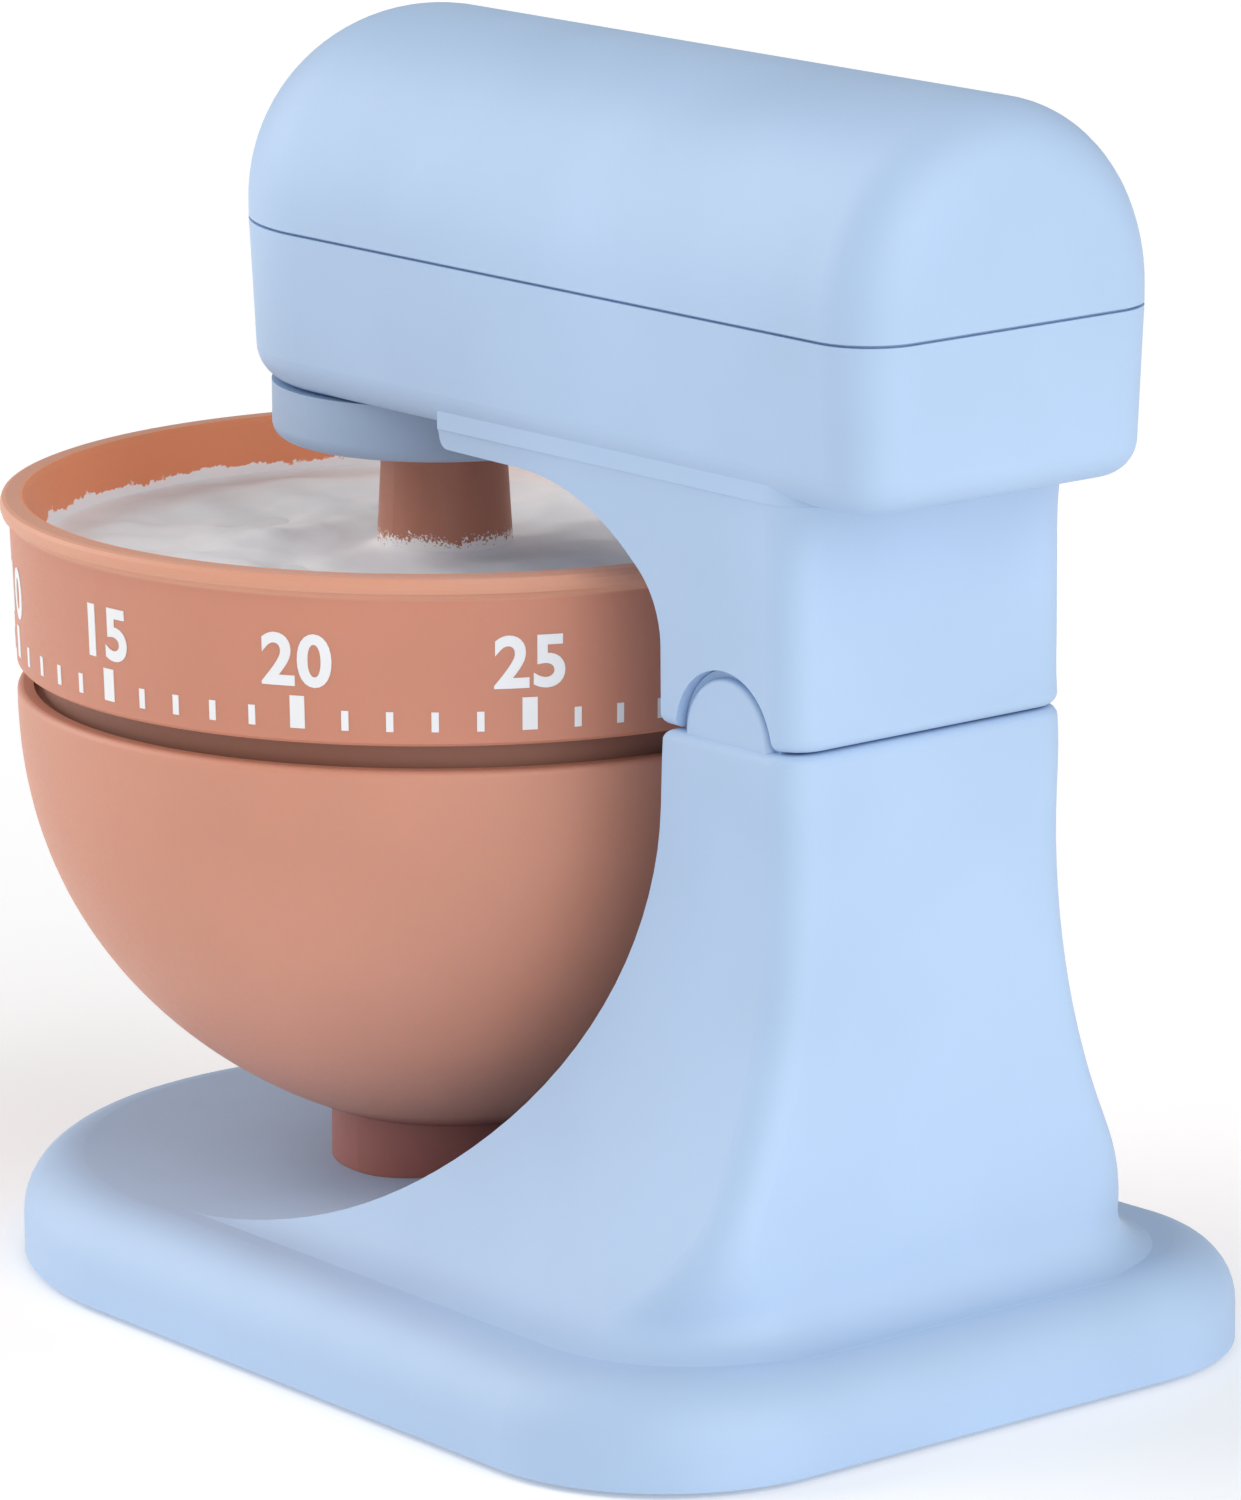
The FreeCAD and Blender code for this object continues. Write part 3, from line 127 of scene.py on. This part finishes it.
def add_studio():
    """Two broad, soft lights, an even pale surround and a plain pale floor."""
    bpy.context.scene.view_settings.view_transform = "Standard"
    world = bpy.data.worlds.new("studio")
    world.use_nodes = True
    background = world.node_tree.nodes["Background"]
    background.inputs["Color"].default_value = WORLD_COLOUR
    background.inputs["Strength"].default_value = WORLD_STRENGTH
    bpy.context.scene.world = world
    for name, source, strength, spread, colour in SUNS:
        data = bpy.data.lights.new(name, "SUN")
        data.energy = strength
        data.angle = math.radians(spread)
        data.color = colour
        light = bpy.data.objects.new(name, data)
        light.rotation_euler = Vector(source).to_track_quat("Z", "Y").to_euler()
        bpy.context.scene.collection.objects.link(light)
    bm = bmesh.new()
    bmesh.ops.create_grid(bm, x_segments=2, y_segments=2, size=FLOOR_HALF)
    floor = add_object("floor", bm, floor_material())


# ---- materials: short ways to build node trees ----
class Paint:
    """A material under construction: its node tree, its shader and short ways to add nodes."""

    def __init__(self, name):
        self.material = bpy.data.materials.new(name)
        self.material.use_nodes = True
        self.tree = self.material.node_tree
        self.shader = self.tree.nodes["Principled BSDF"]
        self.coords = self.tree.nodes.new("ShaderNodeTexCoord").outputs["Object"]

    def link(self, source, target):
        """Link a socket to an input."""
        self.tree.links.new(source, target)

    def feed(self, name, source):
        """Link a socket to one of the shader's inputs, in place of what fed it before."""
        self.link(source, self.shader.inputs[name])

    def colour(self):
        """The socket that feeds the shader's colour now."""
        return self.shader.inputs["Base Color"].links[0].from_socket

    def axes(self):
        """The surface point's X, Y and Z as sockets, in metres."""
        node = self.tree.nodes.new("ShaderNodeSeparateXYZ")
        self.link(self.coords, node.inputs["Vector"])
        return node.outputs["X"], node.outputs["Y"], node.outputs["Z"]

    def noise(self, scale, detail=3.0, roughness=0.5):
        """Smooth noise from 0 to 1; the scale is in lumps per metre."""
        node = self.tree.nodes.new("ShaderNodeTexNoise")
        node.inputs["Scale"].default_value = scale
        node.inputs["Detail"].default_value = detail
        node.inputs["Roughness"].default_value = roughness
        self.link(self.coords, node.inputs["Vector"])
        return node.outputs["Fac"]

    def ramp(self, source, stops, colours):
        """A colour that goes from one linear colour to another between two stops."""
        node = self.tree.nodes.new("ShaderNodeValToRGB")
        self.link(source, node.inputs["Fac"])
        for element, position, colour in zip(node.color_ramp.elements, stops, colours):
            element.position = position
            element.color = colour + (1,)
        return node.outputs["Color"]

    def calculate(self, operation, first, second=None):
        """One arithmetic node; an input is a socket or a number."""
        node = self.tree.nodes.new("ShaderNodeMath")
        node.operation = operation
        for value, target in ((first, node.inputs[0]), (second, node.inputs[1])):
            if isinstance(value, (int, float)):
                target.default_value = value
            elif value is not None:
                self.link(value, target)
        return node.outputs["Value"]

    def plus(self, first, second):
        return self.calculate("ADD", first, second)

    def minus(self, first, second):
        return self.calculate("SUBTRACT", first, second)

    def times(self, first, second):
        return self.calculate("MULTIPLY", first, second)

    def below(self, value, limit):
        """1 where the value is below the limit, or else 0."""
        return self.calculate("LESS_THAN", value, limit)

    def above(self, value, limit):
        """1 where the value is above the limit, or else 0."""
        return self.calculate("GREATER_THAN", value, limit)

    def mix(self, share, base, colour):
        """The base socket's colour, going over to a linear colour as the share rises to 1."""
        node = self.tree.nodes.new("ShaderNodeMix")
        node.data_type = "RGBA"
        first, second = (i for i in node.inputs if i.type == "RGBA")
        self.link(share, node.inputs["Factor"])
        self.link(base, first)
        second.default_value = colour + (1,)
        return next(o for o in node.outputs if o.type == "RGBA")

    def spread(self, source, low, high, from_low=0.3, from_high=0.7):
        """Stretch a value from one range, such as noise's usual one, onto another."""
        node = self.tree.nodes.new("ShaderNodeMapRange")
        node.inputs["From Min"].default_value = from_low
        node.inputs["From Max"].default_value = from_high
        node.inputs["To Min"].default_value = low
        node.inputs["To Max"].default_value = high
        self.link(source, node.inputs["Value"])
        return node.outputs["Result"]

    def bump(self, source, depth, strength, under=None):
        """A surface normal roughened by a height; under is a coarser bump that it lies on."""
        node = self.tree.nodes.new("ShaderNodeBump")
        node.inputs["Distance"].default_value = depth
        node.inputs["Strength"].default_value = strength
        self.link(source, node.inputs["Height"])
        if under is not None:
            self.link(under, node.inputs["Normal"])
        return node.outputs["Normal"]


def tint(colour, factor):
    """A linear colour made darker or lighter."""
    return tuple(min(1.0, c * factor) for c in colour)


def set_material(node, material):
    """Give a CAD node one material."""
    mesh = frame["nodes"][node].data
    mesh.materials.clear()
    mesh.materials.append(material)


# ---- materials: plain plastic, metal, white paint and floor ----
DRIFT_SCALE = 38.0
DRIFT_STOPS = (0.35, 0.65)
DRIFT = 0.04
SPECK_SCALE = 240.0
SPECK_SOLID = 0.02   # a speck's solid part and its soft edge, as shares of its cell
SPECK_EDGE = 0.04
SPECK_RARITY = 0.93
WAVE_SCALE = 90.0
WAVE_DEPTH = 0.05 * MM
GRAIN_SCALE = 2600.0
GRAIN_DEPTH = 0.012 * MM
GRAIN_GLOSS = 0.06   # how far the roughness goes up and down with the grain


def moulded(name, colour, roughness, specks=None):
    """Matt moulded plastic: a slow drift in colour, a fine eroded grain and, if asked, rare specks."""
    paint = Paint(name)
    shades = (tint(colour, 1 - DRIFT), tint(colour, 1 + DRIFT))
    base = paint.ramp(paint.noise(DRIFT_SCALE, detail=2.0), DRIFT_STOPS, shades)
    if specks is not None:
        cells = paint.tree.nodes.new("ShaderNodeTexVoronoi")
        cells.inputs["Scale"].default_value = SPECK_SCALE
        paint.link(paint.coords, cells.inputs["Vector"])
        near = paint.spread(cells.outputs["Distance"], 1.0, 0.0, SPECK_SOLID, SPECK_EDGE)
        chosen = paint.above(cells.outputs["Color"], SPECK_RARITY)
        base = paint.mix(paint.times(near, chosen), base, specks)
    paint.feed("Base Color", base)
    grain = paint.noise(GRAIN_SCALE, detail=4.0, roughness=0.6)
    paint.feed("Roughness", paint.spread(grain, roughness - GRAIN_GLOSS, roughness + GRAIN_GLOSS))
    waves = paint.bump(paint.noise(WAVE_SCALE, detail=2.0), WAVE_DEPTH, strength=0.5)
    paint.feed("Normal", paint.bump(grain, GRAIN_DEPTH, strength=0.6, under=waves))
    return paint


def metal(name, colour, roughness):
    """Bare metal with the same fine grain."""
    paint = moulded(name, colour, roughness)
    paint.shader.inputs["Metallic"].default_value = 1.0
    return paint.material


PALE_STOPS = (0.3, 0.7)
WHITE_DRIFT_SCALE = 160.0
WHITE_DARKEST = 0.965
WHITE_LIGHTEST = 1.02
PEEL_SCALE = 3200.0
PEEL_DEPTH = 0.01 * MM
PEEL_GLOSSIEST = -0.05   # added to the roughness
PEEL_DULLEST = 0.08


def white_paint(name, colour, roughness):
    """Sprayed or printed white: faintly uneven, with a fine orange peel."""
    paint = Paint(name)
    shades = (tint(colour, WHITE_DARKEST), tint(colour, WHITE_LIGHTEST))
    paint.feed("Base Color", paint.ramp(paint.noise(WHITE_DRIFT_SCALE, detail=2.0), PALE_STOPS, shades))
    peel = paint.noise(PEEL_SCALE)
    paint.feed("Roughness", paint.spread(peel, roughness + PEEL_GLOSSIEST, roughness + PEEL_DULLEST))
    paint.feed("Normal", paint.bump(peel, PEEL_DEPTH, strength=0.5))
    return paint.material


FLOOR_SHADES = ((0.90, 0.90, 0.905), (0.92, 0.92, 0.925))
FLOOR_DRIFT_SCALE = 6.0
FLOOR_ROUGHNESS = 0.85
FLOOR_GLOW = 0.2


def floor_material():
    """A pale sheet, lit a little from behind so that it runs out to white."""
    paint = Paint("floor_pale")
    paint.feed("Base Color", paint.ramp(paint.noise(FLOOR_DRIFT_SCALE), PALE_STOPS, FLOOR_SHADES))
    paint.shader.inputs["Roughness"].default_value = FLOOR_ROUGHNESS
    paint.shader.inputs["Emission Color"].default_value = (1, 1, 1, 1)
    paint.shader.inputs["Emission Strength"].default_value = FLOOR_GLOW
    return paint.material


# ---- materials: the copper-coloured bowl and dial ----
COPPER = (0.63, 0.285, 0.195)
COPPER_GLOW = 0.25
COPPER_GLOW_REACH = (1.0, 0.25, 0.08)   # red goes deepest
COPPER_GLOW_DEPTH = 1.5 * MM
COPPER_ROUGHNESS = 0.5


def glow_through(paint):
    """Light soaks a little way into the thin copper-coloured walls and comes out orange."""
    paint.shader.inputs["Subsurface Weight"].default_value = COPPER_GLOW
    paint.shader.inputs["Subsurface Radius"].default_value = COPPER_GLOW_REACH
    paint.shader.inputs["Subsurface Scale"].default_value = COPPER_GLOW_DEPTH


COPPER_DIAL = (0.59, 0.245, 0.162)
# painted highlight: the lip is lighter for the light that catches it and shines through its edge
LIP_PAINTED_HIGHLIGHT = (0.68, 0.33, 0.22)
# painted glow: the inner wall is a deeper orange for light that shines through the thin wall
INSIDE_PAINTED_GLOW = (0.82, 0.285, 0.13)
# painted shade: the stub's copper is darkened for the shade under the hub and head
STUB_PAINTED_SHADE = tint(COPPER_DIAL, 0.8)
CREAM_COLOUR = (0.90, 0.875, 0.87)
LIP_LOW = RING_LOW.z + 12.4 * MM
LIP_BLEND = 0.1 * MM
SPRAY_RADIUS = 34.4 * MM   # the overspray lies inside the dial, never on its outside
STUB_SPRAY_RADIUS = 7.0 * MM
SPRAY_BOTTOM = RING_LOW.z + 7.6 * MM
WALL_SPRAY_TOP = RING_LOW.z + 10.35 * MM
STUB_SPRAY_TOP = RING_LOW.z + 10.75 * MM
SPRAY_BLEND = 0.06 * MM
SPRAY_WANDER = 1.9 * MM
STUB_MIST = 3.4 * MM
RAGGED_NOISE = (900.0, 4.0, 0.7)   # scale, detail and roughness
WAVY_NOISE = (260.0, 2.0, 0.5)
MISTY_NOISE = (4200.0, 3.0, 0.7)


def sprayed_dial():
    """The dial's copper plastic, with ragged white spray low on its inner wall and on the beater stub;
    its lip carries a painted highlight, its inner wall a painted orange glow and its stub painted shade.
    """
    paint = moulded("copper_dial", COPPER_DIAL, COPPER_ROUGHNESS)
    glow_through(paint)
    x, y, z = paint.axes()
    across = paint.minus(x, AXIS.x)
    along = paint.minus(y, AXIS.y)
    squares = paint.plus(paint.times(across, across), paint.times(along, along))
    radius = paint.calculate("SQRT", squares)
    inside = paint.below(radius, SPRAY_RADIUS)
    on_stub = paint.below(radius, STUB_SPRAY_RADIUS)
    off_stub = paint.minus(1.0, on_stub)

    # the spray's upper edge: higher on the stub, wandering everywhere and misty on the stub
    # (one noise is 0.5 on average, and two together 1)
    ragged = paint.plus(paint.noise(*RAGGED_NOISE), paint.noise(*WAVY_NOISE))
    wander = paint.times(paint.minus(ragged, 1.0), SPRAY_WANDER)
    mist = paint.times(paint.minus(paint.noise(*MISTY_NOISE), 0.5), STUB_MIST)
    wander = paint.plus(wander, paint.times(mist, on_stub))
    lift = paint.times(on_stub, STUB_SPRAY_TOP - WALL_SPRAY_TOP)
    edge = paint.plus(paint.plus(lift, WALL_SPRAY_TOP), wander)
    low = paint.spread(paint.minus(z, edge), 1.0, 0.0, -SPRAY_BLEND, SPRAY_BLEND)
    sprayed = paint.times(paint.times(low, inside), paint.above(z, SPRAY_BOTTOM))

    # painted highlight on the lip, off the stub
    lip_highlight = paint.spread(z, 0.0, 1.0, LIP_LOW - LIP_BLEND, LIP_LOW + LIP_BLEND)
    base = paint.mix(paint.times(lip_highlight, off_stub), paint.colour(), LIP_PAINTED_HIGHLIGHT)
    # painted shade on the stub
    base = paint.mix(on_stub, base, STUB_PAINTED_SHADE)
    # painted glow on the inner wall, off the stub
    base = paint.mix(paint.times(inside, off_stub), base, INSIDE_PAINTED_GLOW)
    paint.feed("Base Color", paint.mix(sprayed, base, CREAM_COLOUR))
    return paint.material


# painted shade: the collar is darkened for the shade between the bowl and the base
COLLAR_PAINTED_SHADE = (0.36, 0.12, 0.095)
COLLAR_TOP = BOWL_LOW.z + 5.6 * MM
COLLAR_BLEND_BELOW = 0.6 * MM
COLLAR_BLEND_ABOVE = 1.2 * MM


def shaded_bowl():
    """The bowl's copper plastic, with painted shade on the thick collar it stands on: deeper and browner
    there.
    """
    paint = moulded("copper_bowl", COPPER, COPPER_ROUGHNESS)
    glow_through(paint)
    height = paint.axes()[2]
    low = paint.spread(height, 1.0, 0.0, COLLAR_TOP - COLLAR_BLEND_BELOW, COLLAR_TOP + COLLAR_BLEND_ABOVE)
    # painted shade on the collar, blended in just below its top
    paint.feed("Base Color", paint.mix(low, paint.colour(), COLLAR_PAINTED_SHADE))
    return paint.material


# ---- materials on the CAD nodes ----
BODY_BLUE = (0.405, 0.555, 0.775)
BODY_SPECK = tint(BODY_BLUE, 0.55)
COVER_BLUE = tint(BODY_BLUE, 0.9)
# painted shade: the hub's blue is darkened for the shade that the head casts on it
HUB_PAINTED_SHADE_BLUE = tint(BODY_BLUE, 0.8)
# painted shade: the lid's copper is darkened for the shade in the gap under the dial ring
LID_PAINTED_SHADE_COPPER = tint(COPPER, 0.5)
RUBBER_BLACK = (0.08, 0.08, 0.085)
STEEL_GREY = (0.62, 0.62, 0.63)
BRASS_YELLOW = (0.78, 0.56, 0.22)


def paint_cad():
    """Give each CAD node a material of its own or else the one of its slot."""
    own = {
        "dial_ring": sprayed_dial(),
        "bowl": shaded_bowl(),
        # the lid gets the copper darkened as painted shade
        "bowl_lid": moulded("copper_lid_painted_shade", LID_PAINTED_SHADE_COPPER, roughness=0.55).material,
        # the hub gets the body's blue darkened as painted shade
        "hub": moulded("hub_blue_painted_shade", HUB_PAINTED_SHADE_BLUE, roughness=0.5).material,
    }
    by_slot = {
        "body_blue": moulded("body_blue", BODY_BLUE, roughness=0.52, specks=BODY_SPECK).material,
        "cover_plastic": moulded("cover_plastic", COVER_BLUE, roughness=0.6).material,
        "rubber": moulded("rubber", RUBBER_BLACK, roughness=0.8).material,
        "steel": metal("steel", STEEL_GREY, roughness=0.32),
        "brass": metal("brass", BRASS_YELLOW, roughness=0.30),
    }
    for part in frame["record"]["subparts"]:
        node = part["node"]
        set_material(node, own[node] if node in own else by_slot[part["material_slot"]])


# ---- flat artwork rolled onto round walls ----
PRINT_THICKNESS = 0.045 * MM
WELD = 0.001 * MM


def wrap(bm, angle, radius_at, lift):
    """Roll flat artwork (x sideways, y up, in metres) onto the outside of a round wall."""
    for vert in bm.verts:
        radius = radius_at(vert.co.y)
        vert.co = around_axis(radius + lift + vert.co.z, angle + vert.co.x / radius, vert.co.y)


def slice_along_x(bm, step):
    """Cut flat artwork into narrow strips, so that it bends smoothly."""
    xs = [v.co.x for v in bm.verts]
    for k in range(math.floor(min(xs) / step), math.ceil(max(xs) / step)):
        everything = bm.verts[:] + bm.edges[:] + bm.faces[:]
        bmesh.ops.bisect_plane(bm, geom=everything, plane_co=(k * step, 0, 0), plane_no=(1, 0, 0))


def thicken(bm, depth):
    """Give flat artwork a front and sides; its back stays at z = 0."""
    made = bmesh.ops.extrude_face_region(bm, geom=bm.faces[:])
    for item in made["geom"]:
        if isinstance(item, bmesh.types.BMVert):
            item.co.z += depth
    bmesh.ops.recalc_face_normals(bm, faces=bm.faces[:])


def gather(whole, part):
    """Move one bmesh's faces into another."""
    mesh = bpy.data.meshes.new("part")
    part.to_mesh(mesh)
    part.free()
    whole.from_mesh(mesh)
    bpy.data.meshes.remove(mesh)


# ---- print on the dial ----
ZERO_ANGLE = math.radians(-88.0)
MINUTE = math.radians(6.0)
RING_LOW_RADIUS = 34.95 * MM
RING_DRAFT = 0.0348
RING_LOW_Z = RING_LOW.z + 0.95 * MM
TICK_BOTTOM = RING_LOW_Z + 0.95 * MM
BIG_TICK = (1.2 * MM, 2.61 * MM)   # width and height
SMALL_TICK = (0.57 * MM, 1.59 * MM)
FIRST_SMALL_TICK = 6.31            # in degrees from the big tick
SMALL_TICK_STEP = 5.79
NUMBER_BOTTOM = TICK_BOTTOM + BIG_TICK[1] + 0.7 * MM
NUMBER_HEIGHT = 4.3 * MM
DIGIT_SHARE = 0.73                 # a digit's height over the face's nominal size
NUMBER_SIZE = NUMBER_HEIGHT / DIGIT_SHARE
NUMBER_BOLDNESS = 0.16 * MM
NUMBER_SPACING = 1.06
NUMBER_CURVE_STEPS = 6
DIAL_STRIP = 0.35 * MM
DIAL_PRINT_SUNK = 0.4 * PRINT_THICKNESS


def ring_radius(height):
    """The ring's outer radius, which grows a little towards its top."""
    return RING_LOW_RADIUS + RING_DRAFT * (height - RING_LOW_Z)


def number_artwork(text):
    """One number in a plain bold face, centred on x = 0 with its feet at its place on the dial."""
    curve = bpy.data.curves.new("number", "FONT")
    curve.body = text
    curve.align_x = "CENTER"
    curve.size = NUMBER_SIZE
    curve.offset = NUMBER_BOLDNESS
    curve.space_character = NUMBER_SPACING
    curve.resolution_u = NUMBER_CURVE_STEPS
    holder = bpy.data.objects.new("number", curve)
    mesh = bpy.data.meshes.new_from_object(holder)
    bm = bmesh.new()
    bm.from_mesh(mesh)
    bpy.data.objects.remove(holder)
    bpy.data.curves.remove(curve)
    bpy.data.meshes.remove(mesh)
    bmesh.ops.remove_doubles(bm, verts=bm.verts[:], dist=WELD)
    xs = [v.co.x for v in bm.verts]
    ys = [v.co.y for v in bm.verts]
    middle, low = (min(xs) + max(xs)) / 2, min(ys)
    grow = NUMBER_HEIGHT / (max(ys) - low)
    for vert in bm.verts:
        vert.co = Vector(((vert.co.x - middle) * grow, (vert.co.y - low) * grow + NUMBER_BOTTOM, 0))
    return bm


def tick_artwork(size):
    """One upright bar, centred on x = 0."""
    width, height = size
    right, top = width / 2, TICK_BOTTOM + height
    corners = ((-right, TICK_BOTTOM), (right, TICK_BOTTOM), (right, top), (-right, top))
    bm = bmesh.new()
    bm.faces.new([bm.verts.new((x, y, 0)) for x, y in corners])
    return bm


def add_dial_print(material):
    """Minute ticks all round the ring, and a number over every fifth."""
    whole = bmesh.new()
    for minutes in range(0, 60, 5):
        start = ZERO_ANGLE + minutes * MINUTE
        marks = [(number_artwork(str(minutes)), start), (tick_artwork(BIG_TICK), start)]
        for k in range(4):
            angle = start + math.radians(FIRST_SMALL_TICK + SMALL_TICK_STEP * k)
            marks.append((tick_artwork(SMALL_TICK), angle))
        for artwork, angle in marks:
            slice_along_x(artwork, DIAL_STRIP)
            thicken(artwork, PRINT_THICKNESS + DIAL_PRINT_SUNK)
            wrap(artwork, angle, ring_radius, -DIAL_PRINT_SUNK)
            gather(whole, artwork)
    piece = add_object("dial_print", whole, material, smooth=False)
    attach(piece, "dial")


# ---- index mark on the bowl ----
BOWL_RADIUS = (BOWL_HIGH.x - BOWL_LOW.x) / 2
BOWL_DEPTH = 37.6 * MM
BOWL_DOWN_POWER = 2.21
BOWL_OUT_POWER = 1.71
INDEX_HALF_WIDTH = 1.0 * MM
INDEX_TOP = BOWL_HIGH.z - 1.1 * MM
INDEX_BOTTOM = INDEX_TOP - 2.2 * MM
INDEX_STRIP = 0.25 * MM
INDEX_THICKNESS = 2 * PRINT_THICKNESS
INDEX_SUNK = 0.5 * PRINT_THICKNESS


def bowl_radius(height):
    """The bowl's outside radius, a superellipse with its widest place at the rim."""
    drop = (BOWL_HIGH.z - height) / BOWL_DEPTH
    return BOWL_RADIUS * (1 - drop ** BOWL_DOWN_POWER) ** (1 / BOWL_OUT_POWER)


def add_index_mark(material):
    """The fixed triangle on the bowl's front that the numbers are read against."""
    corners = ((-INDEX_HALF_WIDTH, INDEX_BOTTOM), (INDEX_HALF_WIDTH, INDEX_BOTTOM), (0, INDEX_TOP))
    bm = bmesh.new()
    bm.faces.new([bm.verts.new((x, y, 0)) for x, y in corners])
    slice_along_x(bm, INDEX_STRIP)
    thicken(bm, INDEX_THICKNESS)
    wrap(bm, ZERO_ANGLE, bowl_radius, -INDEX_SUNK)
    piece = add_object("index_mark", bm, material, smooth=False)
    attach(piece, "root")


# ---- whipped cream in the dial ----
CREAM_FLOOR = RING_LOW.z + 8.8 * MM
CREAM_RADIUS = 33.72 * MM
STUB_RADIUS = 5.5 * MM
CREAM_INNER = STUB_RADIUS - 0.25 * MM   # the sheet's edges lie inside the stub and the wall
CREAM_OUTER = CREAM_RADIUS + 0.20 * MM
CREAM_RINGS = 150
CREAM_SPOKES = 480

# The relief is in millimetres. A lump is: lumps per millimetre, place in the noise, height.
CREAM_LUMPS = (
    (0.11, (0, 0, 0), 0.8),
    (0.27, (9, 3, 1), 0.4),
    (0.9, (2, 7, 5), 0.035),
)
CREAM_LEVEL = 0.42
CREAM_SETTLING = 0.1
SWIRL_ARMS = 2
SWIRL_WIND = 9.0   # radians that an arm winds back from the stub to the wall
SWIRL_WANDER = (0.08, (4, 4, 4), 1.5)
SWIRL_HEIGHT = 0.75
RELIEF_FLATNESS = 0.6
STUB_FILLET = 0.75
STUB_FILLET_REACH = 0.8 * MM
WALL_FILLET = 0.35
WALL_FILLET_REACH = 1.4 * MM


def lump(place, scale, offset, height):
    """Smooth noise of one size at a place in millimetres."""
    return noise.noise(place * scale + Vector(offset)) * height


def cream_height(radius, angle):
    """Soft swirled relief: two loose spiral ridges, broad lumps and a fillet at each edge."""
    share = (radius - STUB_RADIUS) / (CREAM_RADIUS - STUB_RADIUS)
    place = Vector((radius * math.cos(angle), radius * math.sin(angle), 0)) / MM
    lumps = sum(lump(place, *size) for size in CREAM_LUMPS)
    turn = SWIRL_ARMS * angle - SWIRL_WIND * share + lump(place, *SWIRL_WANDER)
    swirl = (0.5 + 0.5 * math.sin(turn)) ** 2 * SWIRL_HEIGHT
    middle = math.sin(math.pi * min(1, max(0, share))) ** RELIEF_FLATNESS
    relief = middle * (lumps + swirl - CREAM_SETTLING)
    at_stub = STUB_FILLET * math.exp(-max(0.0, radius - STUB_RADIUS) / STUB_FILLET_REACH)
    at_wall = WALL_FILLET * math.exp(-max(0.0, CREAM_RADIUS - radius) / WALL_FILLET_REACH)
    return CREAM_FLOOR + (CREAM_LEVEL + relief + at_stub + at_wall) * MM


def cream_point(row, column):
    """A point of the cream; both shares run from 0 to 1."""
    radius = CREAM_INNER + (CREAM_OUTER - CREAM_INNER) * row
    angle = 2 * math.pi * column
    return around_axis(radius, angle, cream_height(radius, angle))


def add_cream(material):
    """The cream's top, a sheet that turns with the dial."""
    bm = bmesh.new()
    polar_grid(bm, CREAM_RINGS, CREAM_SPOKES, cream_point)
    bmesh.ops.recalc_face_normals(bm, faces=bm.faces[:])
    piece = add_object("whipped_cream", bm, material)
    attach(piece, "dial")


# ---- the scene ----
PRINT_WHITE = (0.84, 0.85, 0.87)

add_camera()
add_studio()
paint_cad()
print_white = white_paint("print_white", PRINT_WHITE, roughness=0.5)
add_dial_print(print_white)
add_index_mark(print_white)
add_cream(white_paint("cream_white", CREAM_COLOUR, roughness=0.6))
